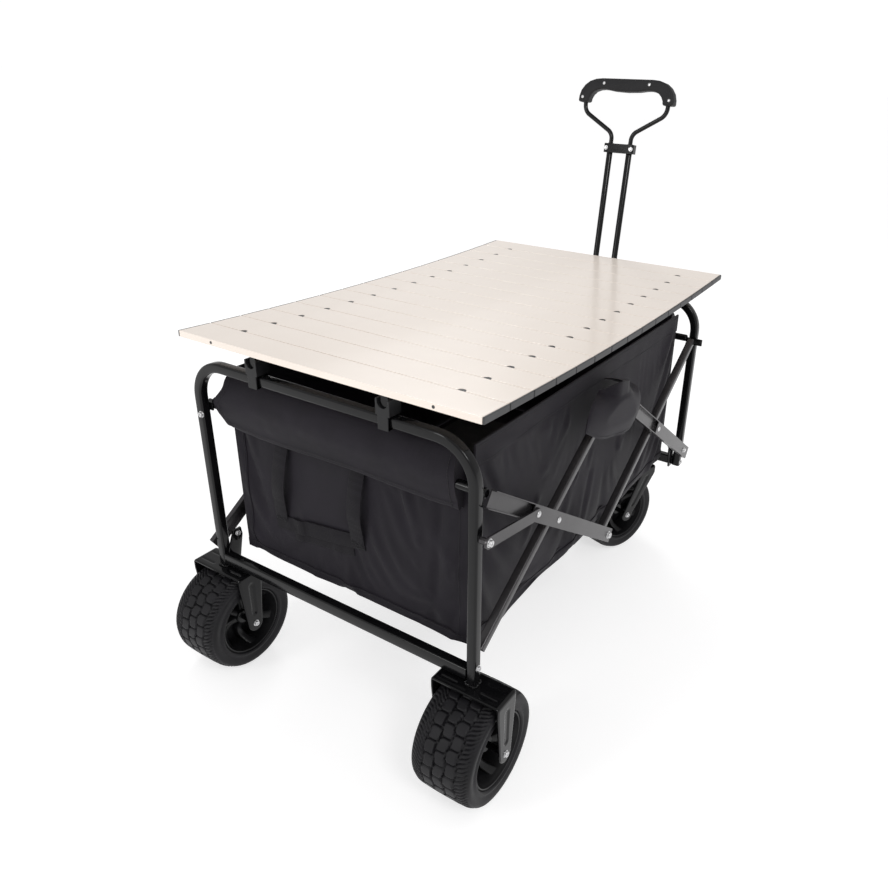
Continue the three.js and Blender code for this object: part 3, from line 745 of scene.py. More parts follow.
# ---- scissor bars ---------------------------------------------------------------------------------
def bar_place(start, end):
    """Local X along the bar from its first pivot, in the XZ plane."""
    angle = math.atan2(end[1] - start[1], end[0] - start[0])
    return Matrix.Translation((start[0], 0, start[1])) @ Matrix.Rotation(-angle, 4, "Y")


def make_bars():
    """The left linkage is the right one turned half a turn about the vertical through the middle."""
    section = box_section(14, 14, 2.8, 4)
    for side_name, side in SIDES:
        turned = side > 0
        one, other = ("front", "rear") if turned else ("rear", "front")

        def at(x, z):
            return (2 * MID_X - x if turned else x, z)

        y, face, out = side * 262, side * 281, (0, side, 0)
        for name, start, end in (
                (f"{one}_rising_bar", at(REAR_PIVOT_X, PIVOT_LOW_Z), at(MID_X, PIVOT_TOP_Z)),
                (f"{other}_falling_bar", at(MID_X, MID_LOW_Z), at(FRONT_PIVOT_X, END_TOP_Z))):
            length = math.dist(start, end)
            local = sweep([(-9, y, 0), (length + 9, y, 0)], section, (0, 1, 0))
            shape = Shape().add(local, bar_place(start, end))
            node = f"{name}_{side_name}"
            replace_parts(piece_of(f"{node}_tube", shape, GREY, body_of_node(node), 42), node)
        for name in (f"{one}_falling_bar", f"{other}_rising_bar", "stay_link"):
            softened(f"{name}_{side_name}", GREY, 0.5, 2)

        def head(body, point, depth, kind="rivet", size=1.15, direction=out):
            fastener(body, (point[0], depth, point[1]), direction, kind, size)

        stay = f"stay_{side_name}"
        head(stay, at(REAR_X, LINK_BOLT_Z), side * 284.5, "bolt", 1.0)
        head(stay, at(*STAY_RIVET), side * 284.5)
        head(f"{one}_falling_bars", at(CROSS_X, CROSS_Z), face)
        head(f"{one}_falling_bars", at(MID_X, MID_LOW_Z), face, "bolt", 1.1)
        head(f"{other}_rising_bars", at(CROSS_FRONT_X, CROSS_Z), face)
        head(f"{other}_rising_bars", at(MID_X, PIVOT_TOP_Z), face - side * 6.6, "bolt", 0.9)
        head(f"{other}_rising_bars", at(FRONT_PIVOT_X, PIVOT_LOW_Z), face, "bolt", 0.9)
        inward = (0, -side, 0)
        head(f"{one}_rising_bars", at(MID_X, PIVOT_TOP_Z), side * 255.2, "rivet", 1.1, inward)
        head(f"{other}_falling_bars", at(FRONT_PIVOT_X, END_TOP_Z), side * 255.2, "rivet", 1.0, inward)


# ---- table ------------------------------------------------------------------------------------------
SAG_R = PITCH / SLAT_BEND
SAG_Z = TABLE_Z + SAG_R * math.cos(SLATS * SLAT_BEND / 2)
NOTCH_Y = 205.0


def slat_outline(notched):
    """Seen from above; the notches that clear the elastic cords are in the rear edge."""
    w, end = (PITCH - SLAT_GAP) / 2, TABLE_W / 2 - 3.2
    points = [(w, -end), (w, end), (-w, end)]
    if notched:
        for centre in (NOTCH_Y, -NOTCH_Y):
            for k in range(11):
                a = math.pi * k / 10
                points.append((-w + 7.0 * math.sin(a), centre + 6.2 * math.cos(a)))
    points.append((-w, -end))
    return points


def slat_caps(notched):
    w = (PITCH - SLAT_GAP) / 2
    shape = Shape()
    for side in (1, -1):
        y0, y1 = sorted((side * (TABLE_W / 2 - 3.0), side * TABLE_W / 2))
        shape.add(block(-w + 0.3, w - 0.3, y0, y1, -SLAT_T, -0.15, 1.0, 3))
        if not notched:
            ring = [(0, -0.4), (2.4, -0.4), (2.4, 0.15), (0, 0.15)]
            shape.add(lathe(ring, 20), pointing((-w, side * NOTCH_Y, -5), (-1, 0, 0)))
    return shape


def slat_plugs():
    """Black plugs in the notches, and the elastic cord that crosses each gap."""
    w = (PITCH - SLAT_GAP) / 2
    shape = Shape()
    for side in (1, -1):
        outline = []
        for k in range(13):
            a = math.pi * k / 12
            outline.append((-w + 0.1 + 6.8 * math.sin(a), side * NOTCH_Y + 6.0 * math.cos(a)))
        shape.add(prism(outline, -SLAT_T + 0.4, -0.5, 0.3, 1))
        cord = [(0, -2.2), (2.0, -2.2), (2.0, 2.2), (0, 2.2)]
        shape.add(lathe(cord, 16), pointing((-w - 0.6, side * NOTCH_Y, -5), (1, 0, 0)))
    return shape


def make_table():
    bodies = {}
    for notched in (False, True):
        plank = prism(slat_outline(notched), -SLAT_T, 0, 0.6, 2)
        bodies[notched] = (shared_mesh(f"slat_{notched}", Shape().add(plank), IVORY, 40),
                           shared_mesh(f"caps_{notched}", slat_caps(notched), CAP, 40))
    plugs = shared_mesh("plugs", slat_plugs(), PLASTIC, 40)
    for i in range(SLATS):
        node = f"slat_{i + 1:02d}"
        angle = (i - (SLATS - 1) / 2) * SLAT_BEND
        at = Matrix.Translation((TABLE_MID_X + SAG_R * math.sin(angle), 0, SAG_Z - SAG_R * math.cos(angle)))
        at = at @ Matrix.Rotation(-angle, 4, "Y")
        plank, caps = bodies[i > 0]
        even_shading(place(f"{node}_plank", plank, at, f"{node}_body", IVORY, node))
        even_shading(place(f"{node}_caps", caps, at, f"{node}_body", CAP))
        if i > 0:
            place(f"{node}_plugs", plugs, at, f"{node}_body", PLASTIC)
    drop = SLAT_T + TABLE_RAIL_R + 0.9
    for side_name, side in SIDES:
        start, end = REAR_X - 8, TABLE_MID_X + 430
        path = []
        for k in range(25):
            x = start + (end - start) * k / 24
            z = SAG_Z - math.sqrt((SAG_R + drop) ** 2 - (x - TABLE_MID_X) ** 2)
            path.append((x, side * TABLE_RAIL_Y, z))
        shape = Shape().add(sweep(path, round_section(TABLE_RAIL_R, 24), (0, 1, 0)))
        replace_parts(piece_of(f"table_rail_{side_name}_tube", shape, GLOSS, "table_rails", 45),
                    f"table_rail_{side_name}")
        for end_name in ("rear", "front"):
            softened(f"{end_name}_clip_{side_name}", PLASTIC, 0.9, 2)


# ---- pull handle ----------------------------------------------------------------------------------------
LEAN = Matrix.Translation((HANDLE_X, 0, HANDLE_Z)) @ Matrix.Rotation(HANDLE_LEAN, 4, "Y")


def grip_outline():
    """The grip's D, in (y, distance along the handle): swelling belly, flared square ends."""
    outer = [(-110, 736), (-109.5, 748), (-106, 760), (-98, 771), (-87, 779), (-73, 783.6), (-58, 785)]
    belly = [(-44, 762.6), (-28, 760.2), (0, 759.0)]
    inner = [(-86, 736), (-85.2, 744), (-81, 752), (-74, 758.5), (-64, 762), (-54, 763.2)]
    left = outer
    right = [(-a, b) for a, b in reversed(outer)]
    inner_right = [(-a, b) for a, b in inner]
    bottom = [(-a, b) for a, b in belly[:-1]] + [belly[-1]] + list(reversed(belly[:-1]))
    return left + right + inner_right + bottom + list(reversed(inner))


def make_handle():
    cheek = ROD_Y + ROD_R + 3
    shape = Shape()
    for _, side in SIDES:
        tube = [(5.4, 0), (ROD_R, 0), (ROD_R, CLAMP_T + 5), (ROD_R - 0.5, CLAMP_T + 6), (5.4, CLAMP_T + 6),
                (5.3, CLAMP_T), (5.3, 60)]
        shape.add(lathe(tube, 28, closed=True), LEAN @ Matrix.Translation((0, side * ROD_Y, 0)))
    pivot = [(0, -cheek + 0.3), (8, -cheek + 0.3), (8, cheek - 0.3), (0, cheek - 0.3)]
    shape.add(lathe(pivot, 28), LEAN @ Matrix.Rotation(math.radians(-90), 4, "X"))
    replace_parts(piece_of("handle_lower_rods", shape, GLOSS, "handle_lower", 40), "handle_lower_tubes")
    softened("handle_bracket", GLOSS, 0.8)
    softened("handle_clamp", GLOSS, 1.2, 3)
    for _, side in SIDES:
        for out in (1, -1):
            head = LEAN @ Vector((out * 10, side * 29, CLAMP_T - 4.5))
            fastener("handle_lower", head, LEAN.to_3x3() @ Vector((out, 0, 0)), "bolt", 0.72)
        fastener("front_frame", (HANDLE_X, side * (cheek + 3), HANDLE_Z), (0, side, 0), "bolt")
    path = bent([(0, -ROD_Y, 300), (0, -ROD_Y, CLAMP_T + 26, 22), (0, -95, CLAMP_T + 68, 24),
                 (0, -97, CLAMP_T + 106, 16), (0, -62, GRIP_TOP - 10, 26), (0, 62, GRIP_TOP - 10, 26),
                 (0, 97, CLAMP_T + 106, 16), (0, 95, CLAMP_T + 68, 24), (0, ROD_Y, CLAMP_T + 26, 22),
                 (0, ROD_Y, 300)], 10)
    shape = Shape().add(sweep(path, round_section(INNER_ROD_R, 20), (1, 0, 0)), LEAN)
    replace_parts(piece_of("handle_loop_tube", shape, GLOSS, "handle_upper", 45), "handle_upper_loop")
    shape = Shape().add(prism(grip_outline(), -12, 12, 4.2, 4, "X"), LEAN)
    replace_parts(piece_of("handle_grip_moulding", shape, GRIP, "handle_upper", 50), "handle_grip")
    for y, t in ((-100, 746), (-52, 775), (52, 775), (100, 746)):
        for out in (1, -1):
            head = LEAN @ Vector((out * 11.6, y, t))
            fastener("handle_upper", head, LEAN.to_3x3() @ Vector((out, 0, 0)), "screw", 1.0)


def make_fasteners():
    for body, shape in FASTENERS.items():
        piece_of(f"fasteners_{body}", shape, ZINC, body, 40)


make_hoops()
make_cross_rails()
make_end_rails()
make_wheels()
make_bars()
make_table()
make_handle()


# ---- fabric -----------------------------------------------------------------------------------------------
CLOTH_FRAMES = 26
PANEL_TOP = 520.0


def settled(points, columns, pinned, slack, gravity):
    """Runs a grid of points as slack cloth held at its pins, and returns where it comes to rest."""
    rows = len(points) // columns
    mesh = bpy.data.meshes.new("cloth")
    mesh.from_pydata([Vector(p) * MM for p in points], [], ring_faces(rows, columns, closed=False))
    cloth = bpy.data.objects.new("cloth", mesh)
    bpy.context.scene.collection.objects.link(cloth)
    group = cloth.vertex_groups.new(name="pins")
    for i, weight in enumerate(pinned):
        if weight > 0:
            group.add([i], weight, "REPLACE")
    modifier = cloth.modifiers.new("cloth", "CLOTH")
    settings = modifier.settings
    settings.quality, settings.mass, settings.air_damping = 6, 0.25, 2.0
    settings.tension_stiffness = settings.compression_stiffness = 12
    settings.shear_stiffness, settings.bending_stiffness = 8, 1.6
    settings.vertex_group_mass, settings.pin_stiffness = "pins", 2.0
    settings.shrink_min = -slack
    settings.effector_weights.gravity = gravity
    modifier.point_cache.frame_start, modifier.point_cache.frame_end = 1, CLOTH_FRAMES
    scene = bpy.context.scene
    for k in range(1, CLOTH_FRAMES + 1):
        scene.frame_set(k)
    evaluated = cloth.evaluated_get(bpy.context.evaluated_depsgraph_get())
    result = evaluated.to_mesh()
    rested = [v.co / MM for v in result.vertices]
    evaluated.to_mesh_clear()
    scene.frame_set(1)
    bpy.data.objects.remove(cloth)
    return [Vector(p) for p in rested]


class Sheet:
    """A grid of cloth in the row frame; columns run across and rows run down."""

    def __init__(self, name, across, down, columns, rows, outward):
        self.name, self.columns, self.rows, self.outward = name, columns + 1, rows + 1, Vector(outward)
        self.points = []
        for i in range(rows + 1):
            for j in range(columns + 1):
                u, v = j / columns, i / rows
                self.points.append(Vector(across(u, v)) + Vector(down(u, v)))
        self.start = [p.copy() for p in self.points]

    def at(self, u, v, lift=0.0):
        """The point at shares (u, v) of the grid, lifted outward."""
        x, y = min(max(u, 0), 1) * (self.columns - 1), min(max(v, 0), 1) * (self.rows - 1)
        j, i = min(int(x), self.columns - 2), min(int(y), self.rows - 2)
        fx, fy = x - j, y - i
        k = i * self.columns + j
        top = self.points[k].lerp(self.points[k + 1], fx)
        low = self.points[k + self.columns].lerp(self.points[k + self.columns + 1], fx)
        return top.lerp(low, fy) + self.outward * lift

    def crease(self, folds, seed, ripple):
        """Presses folds (u0, v0, u1, v1, width, height) in, with a seeded ripple, less at the held edges."""
        shift = Vector((seed * 3.7, seed * 1.3, 0))
        for i in range(self.rows):
            for j in range(self.columns):
                u, v = j / (self.columns - 1), i / (self.rows - 1)
                held = smooth(u / 0.05) * smooth((1 - u) / 0.05) * smooth(v / 0.12)
                lift = ripple * noise.noise(Vector((u * 7, v * 3.4, 0)) + shift)
                lift += 0.45 * ripple * noise.noise(Vector((u * 19 + v * 6, v * 9, 4)) + shift)
                for u0, v0, u1, v1, width, height in folds:
                    lift += height * math.exp(-(capsule(u, v * 0.5, u0, v0 * 0.5, u1, v1 * 0.5) / width) ** 2)
                self.points[i * self.columns + j] += self.outward * lift * held

    def settle(self, held, slack, gravity, inward, outward):
        """Cloth simulation, with each point kept between inward and outward of where it was cut."""
        pins = [held(j / (self.columns - 1), i / (self.rows - 1)) for i in range(self.rows)
                for j in range(self.columns)]
        rested = settled(self.points, self.columns, pins, slack, gravity)
        for k, point in enumerate(rested):
            move = point - self.start[k]
            out = move.dot(self.outward)
            flat = move - self.outward * out
            if flat.length > 14:
                flat = flat.normalized() * 14
            self.points[k] = self.start[k] + flat + self.outward * min(max(out, -inward), outward)

    def piece(self, material, body, thickness=1.5, name=None):
        mesh = bpy.data.meshes.new(name or self.name)
        mesh.from_pydata([p * MM for p in self.points], [], ring_faces(self.rows, self.columns, closed=False))
        cloth = new_object(name or self.name, mesh, body, material)
        mesh.materials.append(material)
        mesh.shade_smooth()
        solid = cloth.modifiers.new("thickness", "SOLIDIFY")
        solid.thickness, solid.offset = thickness * MM, 0.0
        applied = bpy.data.meshes.new_from_object(cloth.evaluated_get(bpy.context.evaluated_depsgraph_get()))
        cloth.modifiers.clear()
        cloth.data = applied
        applied.name = cloth.name
        applied.shade_smooth()
        applied.set_sharp_from_angle(angle=math.radians(60))
        return cloth


def band(sheet, name, u0, u1, v0, v1, lift, material, body, columns, rows, thickness=1.3):
    """A second layer sewn on a sheet, between shares of its grid."""
    layer = Sheet(name, lambda u, v: sheet.at(u0 + (u1 - u0) * u, v0 + (v1 - v0) * v, lift),
                  lambda u, v: (0, 0, 0), columns, rows, sheet.outward)
    return layer.piece(material, body, thickness)


def stitches(points, spacing=4.2, length=2.8, radius=0.42):
    """Thread along a line of points: short raised dashes."""
    shape, carried = Shape(), 0.0
    for a, b in zip(points, points[1:]):
        step = b - a
        distance = step.length
        if distance < 1e-6:
            continue
        along = step / distance
        while carried < distance:
            start = a + along * carried
            dash = [(0, 0), (radius * 0.9, 0.25), (radius, length / 2),
                    (radius * 0.9, length - 0.25), (0, length)]
            shape.add(lathe(dash, 6), pointing(start, along))
            carried += spacing
        carried -= distance
    return shape


def squash_on_fold(piece):
    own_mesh(piece)


threads = {"rear_frame": Shape(), "front_frame": Shape()}


def make_side_walls():
    x0, x1 = PANEL_REAR_X + 4, PANEL_FRONT_X - 4
    length = x1 - x0
    folds = [(0.01, 0.06, 0.42, 0.55, 0.018, 5.5), (0.02, 0.14, 0.3, 0.72, 0.016, -4.5),
             (0.03, 0.02, 0.36, 0.22, 0.014, 4.0), (0.5, 0.35, 0.30, 0.95, 0.02, 5.0),
             (0.5, 0.42, 0.72, 0.98, 0.02, 4.5), (0.98, 0.08, 0.66, 0.6, 0.018, 5.0),
             (0.99, 0.16, 0.8, 0.9, 0.016, -4.5), (0.1, 0.98, 0.24, 0.5, 0.014, 3.5),
             (0.44, 0.98, 0.5, 0.62, 0.014, -4.0), (0.9, 0.98, 0.84, 0.62, 0.014, 3.5)]
    for side_name, side in SIDES:
        wall = Sheet(f"side_wall_{side_name}", lambda u, v: (x0 + length * u, 0, 0),
                     lambda u, v: (0, side * (BASKET_Y - 2), BASKET_TOP - (BASKET_TOP - SKIRT_Z) * v),
                     150, 62, (0, side, 0))
        wall.crease(folds, 1 + side, 2.2)

        def held(u, v):
            if v < 0.1 or u < 0.008 or u > 0.992:
                return 1.0
            if v > 0.985 and (u < 0.03 or u > 0.97 or abs((u * 6) % 1 - 0.5) < 0.04):
                return 0.9
            return 0.0

        wall.settle(held, 0.002, 0.6, 13, 12)
        cloth = wall.piece(FABRIC, "rear_frame")
        squash_on_fold(cloth)
        if side < 0:
            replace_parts(cloth, "basket_sides_and_floor")
        hem = band(wall, f"side_hem_{side_name}", 0, 1, 0.0, 0.105, 1.7, FABRIC, "rear_frame", 120, 6)
        squash_on_fold(hem)
        seam = band(wall, f"side_seam_{side_name}", 0, 1, 0.955, 1.0, 1.5, FABRIC, "rear_frame", 120, 3)
        squash_on_fold(seam)
        rows = Shape()
        for v, lift in ((0.093, 2.5), (0.016, 2.5), (0.962, 2.3)):
            line = [wall.at(k / 160, v, lift) for k in range(1, 160)]
            rows.add(stitches(line).solid())
        thread = piece_of(f"side_stitching_{side_name}", rows, THREAD, "rear_frame", 60)
        squash_on_fold(thread)
        make_flap(side_name, side)


FLAP_ROOT_Y, FLAP_REACH, FLAP_LIMIT_Y = 239.5, 45, 289
FLAP_TOP = [(-22, FLAP_ROOT_Y, 517), (20, FLAP_ROOT_Y, 508), (62, FLAP_ROOT_Y, 494)]
FLAP_LEFT = [(-22, FLAP_ROOT_Y, 517), (-80, 256, 521), (-130, 270, 521), (-160, 279, 511), (-168, 280, 489)]
FLAP_RIGHT = [(62, FLAP_ROOT_Y, 494), (64, 258, 492), (58, 270, 488), (54, 278, 474), (48, 280, 453)]
FLAP_BOTTOM = [(-168, 280, 489), (-120, 282, 462), (-71, 282, 446), (6, 282, 431), (48, 280, 453)]


def catmull_rom(p0, p1, p2, p3, f):
    """The point at share f between p1 and p2 of a smooth curve through four points."""
    return 0.5 * ((2 * p1) + (p2 - p0) * f + (2 * p0 - 5 * p1 + 4 * p2 - p3) * f * f
                  + (3 * p1 - p0 - 3 * p2 + p3) * f ** 3)


def along(points, t):
    """A point at share t of a smooth curve."""
    n = len(points) - 1
    i = min(int(t * n), n - 1)
    f = t * n - i
    return catmull_rom(*(Vector(points[min(max(i + m, 0), n)]) for m in (-1, 0, 1, 2)), f)


def make_flap(side_name, side):
    """The flap that hangs from the hem over the middle pivot, spread between its four edges."""
    corners = [Vector(p) for p in (FLAP_TOP[0], FLAP_TOP[-1], FLAP_BOTTOM[0], FLAP_BOTTOM[-1])]

    def place_point(u, v):
        p = along(FLAP_TOP, u) * (1 - v) + along(FLAP_BOTTOM, u) * v
        p += along(FLAP_LEFT, v) * (1 - u) + along(FLAP_RIGHT, v) * u
        p -= (corners[0] * (1 - u) + corners[1] * u) * (1 - v) + (corners[2] * (1 - u) + corners[3] * u) * v
        inside = 0 < v < 1 and 0 < u < 1
        swell = math.sin(math.pi * u) ** 0.7 * math.sin(math.pi * v ** 0.6) if inside else 0.0
        pucker = 1.8 * math.sin(u * 22 + 2) * math.exp(-((v - 0.1) / 0.1) ** 2) * min(u, 1 - u) * 4
        depth = p.y + 23 * swell + pucker + 1.5 * swell * noise.noise(Vector((u * 3, v * 3, side * 5)))
        # The cloth rides out over the ends of the bars at the pivot; they still touch it.
        over = math.exp(-((p.x - MID_X) / 45) ** 4)
        depth = max(depth, FLAP_ROOT_Y + FLAP_REACH * over * smooth(v / 0.13))
        p.z += over * (14 * math.sin(math.pi * min(v / 0.3, 1)) + 6 * smooth((0.7 - v) / 0.4))
        return (2 * MID_X - p.x if side > 0 else p.x, side * min(depth, FLAP_LIMIT_Y), p.z)

    flap = Sheet(f"pivot_flap_{side_name}", place_point, lambda u, v: (0, 0, 0), 48, 36, (0, side, 0))
    cloth = flap.piece(FABRIC, "rear_frame", 1.6)
    squash_on_fold(cloth)
    edge = [flap.at(0.03, k / 60, 1.0) for k in range(6, 57)]
    edge += [flap.at(k / 40, 0.95, 1.0) for k in range(2, 39)]
    edge += [flap.at(0.97, k / 60, 1.0) for k in range(56, 5, -1)]
    thread = piece_of(f"flap_stitching_{side_name}", stitches(edge), THREAD, "rear_frame", 60)
    squash_on_fold(thread)


def make_floor():
    x0, x1 = PANEL_REAR_X + 4, PANEL_FRONT_X - 4
    floor = Sheet("basket_floor_cloth", lambda u, v: (x0 + (x1 - x0) * u, 0, 0),
                  lambda u, v: (0, (BASKET_Y - 2) * (2 * v - 1), BASKET_LOW + 1.5), 90, 56, (0, 0, -1))
    for i in range(floor.rows):
        for j in range(floor.columns):
            u, v = j / (floor.columns - 1), i / (floor.rows - 1)
            held = math.sin(math.pi * u) ** 0.6 * math.sin(math.pi * v) ** 0.6
            sag = 1.5 + 2.2 * noise.noise(Vector((u * 5, v * 4, 9)))
            floor.points[i * floor.columns + j] += floor.outward * sag * held
    cloth = floor.piece(FABRIC, "rear_frame", 1.8)
    squash_on_fold(cloth)
    for name in ("floor_board_rear", "floor_board_front"):
        softened(name, BOARD, 0.7)


def spline(points, count, closed=True):
    """Points evenly spaced in parameter on a Catmull-Rom curve."""
    n, out = len(points), []
    for k in range(count):
        t = k / count * n if closed else k / (count - 1) * (n - 1)
        i = min(int(t), n - 1 if closed else n - 2)
        f = t - i
        pick = (lambda m: points[m % n]) if closed else (lambda m: points[min(max(m, 0), n - 1)])
        out.append(catmull_rom(*(Vector(pick(i + m)).to_3d() for m in (-1, 0, 1, 2)), f))
    return out


SLEEVE = [(10, 459), (14.5, 463), (17.5, 476), (22, 491), (25, 506), (23.8, 520), (19.5, 533.5),
          (13.5, 544), (6, 550.5), (-1.5, 551), (-4.6, 545), (-4.4, 525), (-4.2, 500), (-3.6, 475),
          (-2, 460), (2, 458), (5.5, 461), (8, 461)]
SLEEVE_MID_X, SLEEVE_MID_Z = 9.0, 515.0


def make_sleeve(end, x, out, body, seed):
    """The padded roll of cloth over the end rail; its left end swells past the panel."""
    section = spline(SLEEVE, 60)
    n, rows, reach = len(section), 130, 222.0
    points = []
    for i in range(rows + 1):
        y = -reach + 2 * reach * i / rows
        near_left = smooth((y - 150) / 70)
        for k, (a, z, _) in enumerate(section):
            uneven = 1.1 * noise.noise(Vector((y / 46 + seed, k / 9, 3))) \
                + 0.8 * noise.noise(Vector((y / 17 + k / 5, z / 13, seed)))
            uneven += math.sin((y + z * 1.7) / 9.5) * 1.3 * math.exp(-((abs(y) - reach) / 34) ** 2)
            a2 = SLEEVE_MID_X + (a - SLEEVE_MID_X) * (1 + uneven / 26) + 2.0 * near_left * smooth((z - 470) / 30)
            z2 = SLEEVE_MID_Z + (z - SLEEVE_MID_Z) * (1 + uneven / 90)
            hang = smooth((500 - z) / 20)
            z2 += hang * (2.4 * math.sin(y / 52 + seed) - 3.0 * math.cos(math.pi * y / (2 * reach)))
            past = near_left * (22 * smooth((538 - z) / 40) - 12 * smooth((490 - z) / 30))
            points.append((x + out * a2, y + past, z2))
    faces = ring_faces(rows + 1, n)
    for end_row, order in ((0, 1), (rows, -1)):
        base = end_row * n
        centre = sum((Vector(points[base + k]) for k in range(n)), Vector()) / n
        points.append(tuple(centre))
        for k in range(n):
            faces.append([len(points) - 1, base + k, base + (k + 1) % n][::order])
    sleeve = piece_of(f"{end}_rail_sleeve", Shape().add((points, faces)), FABRIC, body, 70)
    lip = [Vector(points[i * n + 5]) + Vector((out * 1.0, 0, 0)) for i in range(2, rows - 1)]
    threads[body].add(stitches(lip).solid())
    for row in (3, rows - 3):
        ring = [Vector(points[row * n + k]) + Vector((out * 0.7, 0, 0.2)) for k in range(1, 30)]
        threads[body].add(stitches(ring).solid())


def make_end_panel(end, x, out, body, folds, seed):
    panel = Sheet(f"{end}_panel_cloth", lambda u, v: (x, (BASKET_Y - 3) * (1 - 2 * u), 0),
                  lambda u, v: (0, 0, PANEL_TOP - (PANEL_TOP - SKIRT_Z) * v), 96, 62, (out, 0, 0))
    panel.crease(folds, seed, 2.4)

    def held(u, v):
        if v < 0.06 or u < 0.012 or u > 0.988:
            return 1.0
        if v > 0.98 and (u < 0.05 or u > 0.95 or abs(u - 0.5) < 0.02):
            return 0.85
        return 0.0

    panel.settle(held, 0.002, 0.6, 6, 12)
    cloth = panel.piece(FABRIC, body, 1.8)
    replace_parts(cloth, f"{end}_end_panel")
    band(panel, f"{end}_panel_seam", 0, 1, 0.95, 1.0, 1.8, FABRIC, body, 80, 3)
    for u in (0.022, 0.978):
        side_name = "left" if u < 0.5 else "right"
        band(panel, f"{end}_panel_edge_{side_name}", u - 0.02, u + 0.02, 0.0, 1.0, 1.7, FABRIC, body, 3, 60)
    for line in ([panel.at(k / 120, 0.957, 3.0) for k in range(3, 118)],
                 [panel.at(0.036, k / 90, 2.8) for k in range(16, 88)],
                 [panel.at(0.964, k / 90, 2.8) for k in range(16, 88)]):
        threads[body].add(stitches(line).solid())
    return panel


def strap(name, panel, path, width, body, thickness=1.7, steps=44):
    """Webbing over a panel, from (y, z, lift) points."""
    centre = []
    for y, z, lift in spline(path, steps, closed=False):
        u = (1 - y / (BASKET_Y - 3)) / 2
        v = (PANEL_TOP - z) / (PANEL_TOP - SKIRT_Z)
        centre.append(panel.at(u, v, lift))
    run = (centre[-1] - centre[0]).normalized()
    across = run.cross(panel.outward).normalized()
    shape = Shape().add(sweep(centre, box_section(width, thickness, 0.7, 2), across))
    piece_of(name, shape, WEBBING, body, 50)
    return centre, across


def box_stitch(centre, run, across, outward, width, height, lift):
    """A sewn square with its cross."""
    corners = [(-1, -1), (1, -1), (1, 1), (-1, 1), (-1, -1), (1, 1), (1, -1), (-1, 1)]
    shape = Shape()
    for (a, b), (c, d) in zip(corners, corners[1:]):
        p = centre + across * (a * width / 2) + run * (b * height / 2) + outward * lift
        q = centre + across * (c * width / 2) + run * (d * height / 2) + outward * lift
        shape.add(stitches([p, q], 3.0, 2.1).solid())
    return shape


def make_rear_straps(panel):
    left = [(117, 484, 2.2), (120, 458, 4), (124, 425, 10), (130, 380, 13), (135, 345, 8), (138, 316, 3.2)]
    right = [(-37, 484, 2.2), (-35, 458, 4), (-33, 425, 11), (-30, 385, 14), (-27, 352, 8), (-25, 328, 3.4)]
    for name, path in (("rear_strap_left", left), ("rear_strap_right", right)):
        centre, across = strap(name, panel, path, 27, "rear_frame")
        run = (centre[-1] - centre[0]).normalized()
        for at in (centre[3], centre[-3]):
            threads["rear_frame"].add(box_stitch(at, run, across, panel.outward, 20, 12, 1.1).solid())
    level = [(152, 307, 1.8), (110, 312, 2.4), (60, 319, 4.5), (10, 325, 3.5), (-38, 331, 1.9)]
    centre, across = strap("rear_strap_level", panel, level, 26, "rear_frame")
    run = (centre[-1] - centre[0]).normalized()
    threads["rear_frame"].add(box_stitch(centre[-4], run, across, panel.outward, 20, 15, 1.2).solid())
    fold = [(112, 297, 1.4), (50, 304, 1.6), (-14, 311, 1.4)]
    strap("rear_strap_fold", panel, fold, 24, "rear_frame", 1.5, 24)


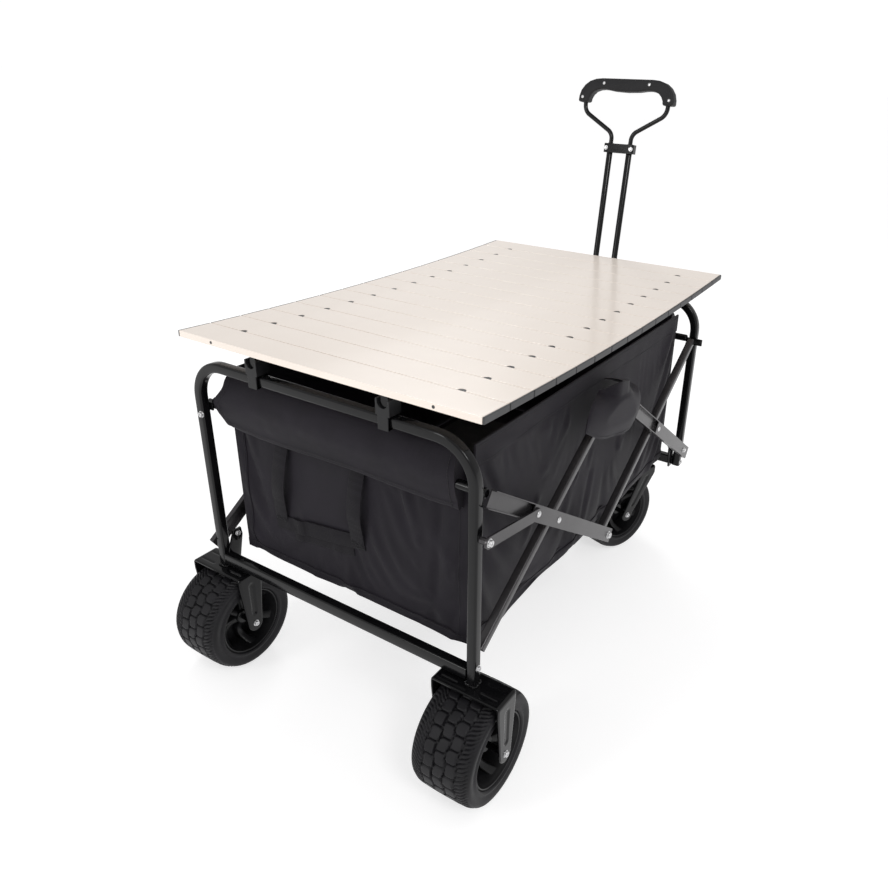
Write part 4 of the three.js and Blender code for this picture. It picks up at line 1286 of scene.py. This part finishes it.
def make_basket():
    rear_folds = [(0.70, 0.2, 0.98, 0.62, 0.03, 5.0), (0.62, 0.55, 0.95, 0.95, 0.03, 6.0),
                  (0.55, 0.75, 0.80, 0.98, 0.025, -4.0), (0.02, 0.15, 0.12, 0.7, 0.025, -3.5),
                  (0.04, 0.86, 0.30, 0.70, 0.035, 7.0), (0.2, 0.98, 0.45, 0.75, 0.03, 4.5),
                  (0.9, 0.1, 0.86, 0.9, 0.02, -3.5), (0.74, 0.12, 0.80, 0.5, 0.02, 4.0)]
    front_folds = [(0.1, 0.1, 0.45, 0.7, 0.03, 4.5), (0.9, 0.1, 0.6, 0.7, 0.03, 4.5),
                   (0.5, 0.98, 0.4, 0.5, 0.03, 5.0), (0.2, 0.98, 0.1, 0.4, 0.025, -3.5)]
    make_side_walls()
    make_floor()
    rear = make_end_panel("rear", PANEL_REAR_X, -1, "rear_frame", rear_folds, 4)
    make_end_panel("front", PANEL_FRONT_X, 1, "front_frame", front_folds, 7)
    make_sleeve("rear", PANEL_REAR_X, -1, "rear_frame", 2)
    make_sleeve("front", PANEL_FRONT_X, 1, "front_frame", 6)
    make_rear_straps(rear)
    for body, shape in threads.items():
        piece_of(f"stitching_{body}", shape, THREAD, body, 60)


make_basket()


# ---- stage ----------------------------------------------------------------------------------------------
def make_stage():
    mesh = bpy.data.meshes.new("floor")
    reach = 90.0
    mesh.from_pydata([(-reach, -reach, 0), (reach, -reach, 0), (reach, reach, 0), (-reach, reach, 0)], [],
                     [(0, 1, 2, 3)])
    floor = bpy.data.objects.new("floor", mesh)
    bpy.context.scene.collection.objects.link(floor)
    material, tree, shader, coords = new_material("pale_floor", Roughness=0.9, Emission_Strength=0.64)
    shader.inputs["Base Color"].default_value = (0.5, 0.5, 0.5, 1)
    shader.inputs["Emission Color"].default_value = (1.0, 0.998, 1.0, 1)
    mesh.materials.append(material)

    world = bpy.data.worlds.new("studio")
    world.use_nodes = True
    tree = world.node_tree
    background = tree.nodes["Background"]
    background.inputs["Color"].default_value = (1.0, 0.996, 0.998, 1)
    level = tree.nodes.new("ShaderNodeMapRange")
    level.inputs["To Min"].default_value, level.inputs["To Max"].default_value = 0.68, 1.03
    ray = tree.nodes.new("ShaderNodeLightPath")
    node_link(tree, ray, "Is Camera Ray", level, "Value")
    node_link(tree, level, "Result", background, "Strength")
    bpy.context.scene.world = world
    bpy.context.scene.view_settings.view_transform = "Standard"

    def softbox(name, at, aim, width, height, power):
        data = bpy.data.lights.new(name, "AREA")
        data.shape, data.size, data.size_y, data.energy = "RECTANGLE", width, height, power
        lamp = bpy.data.objects.new(name, data)
        bpy.context.scene.collection.objects.link(lamp)
        lamp.location = at
        lamp.rotation_mode = "QUATERNION"
        lamp.rotation_quaternion = (Vector(aim) - Vector(at)).to_track_quat("-Z", "Y")

    softbox("key", (-1.5, -2.3, 2.7), (0, 0, 0.4), 0.9, 0.9, 30)
    softbox("fill", (-2.8, 1.0, 1.6), (0, 0, 0.3), 0.6, 1.4, 16)
    softbox("back", (1.9, 1.6, 2.4), (0, 0, 0.5), 0.9, 0.8, 18)


make_fasteners()
make_stage()
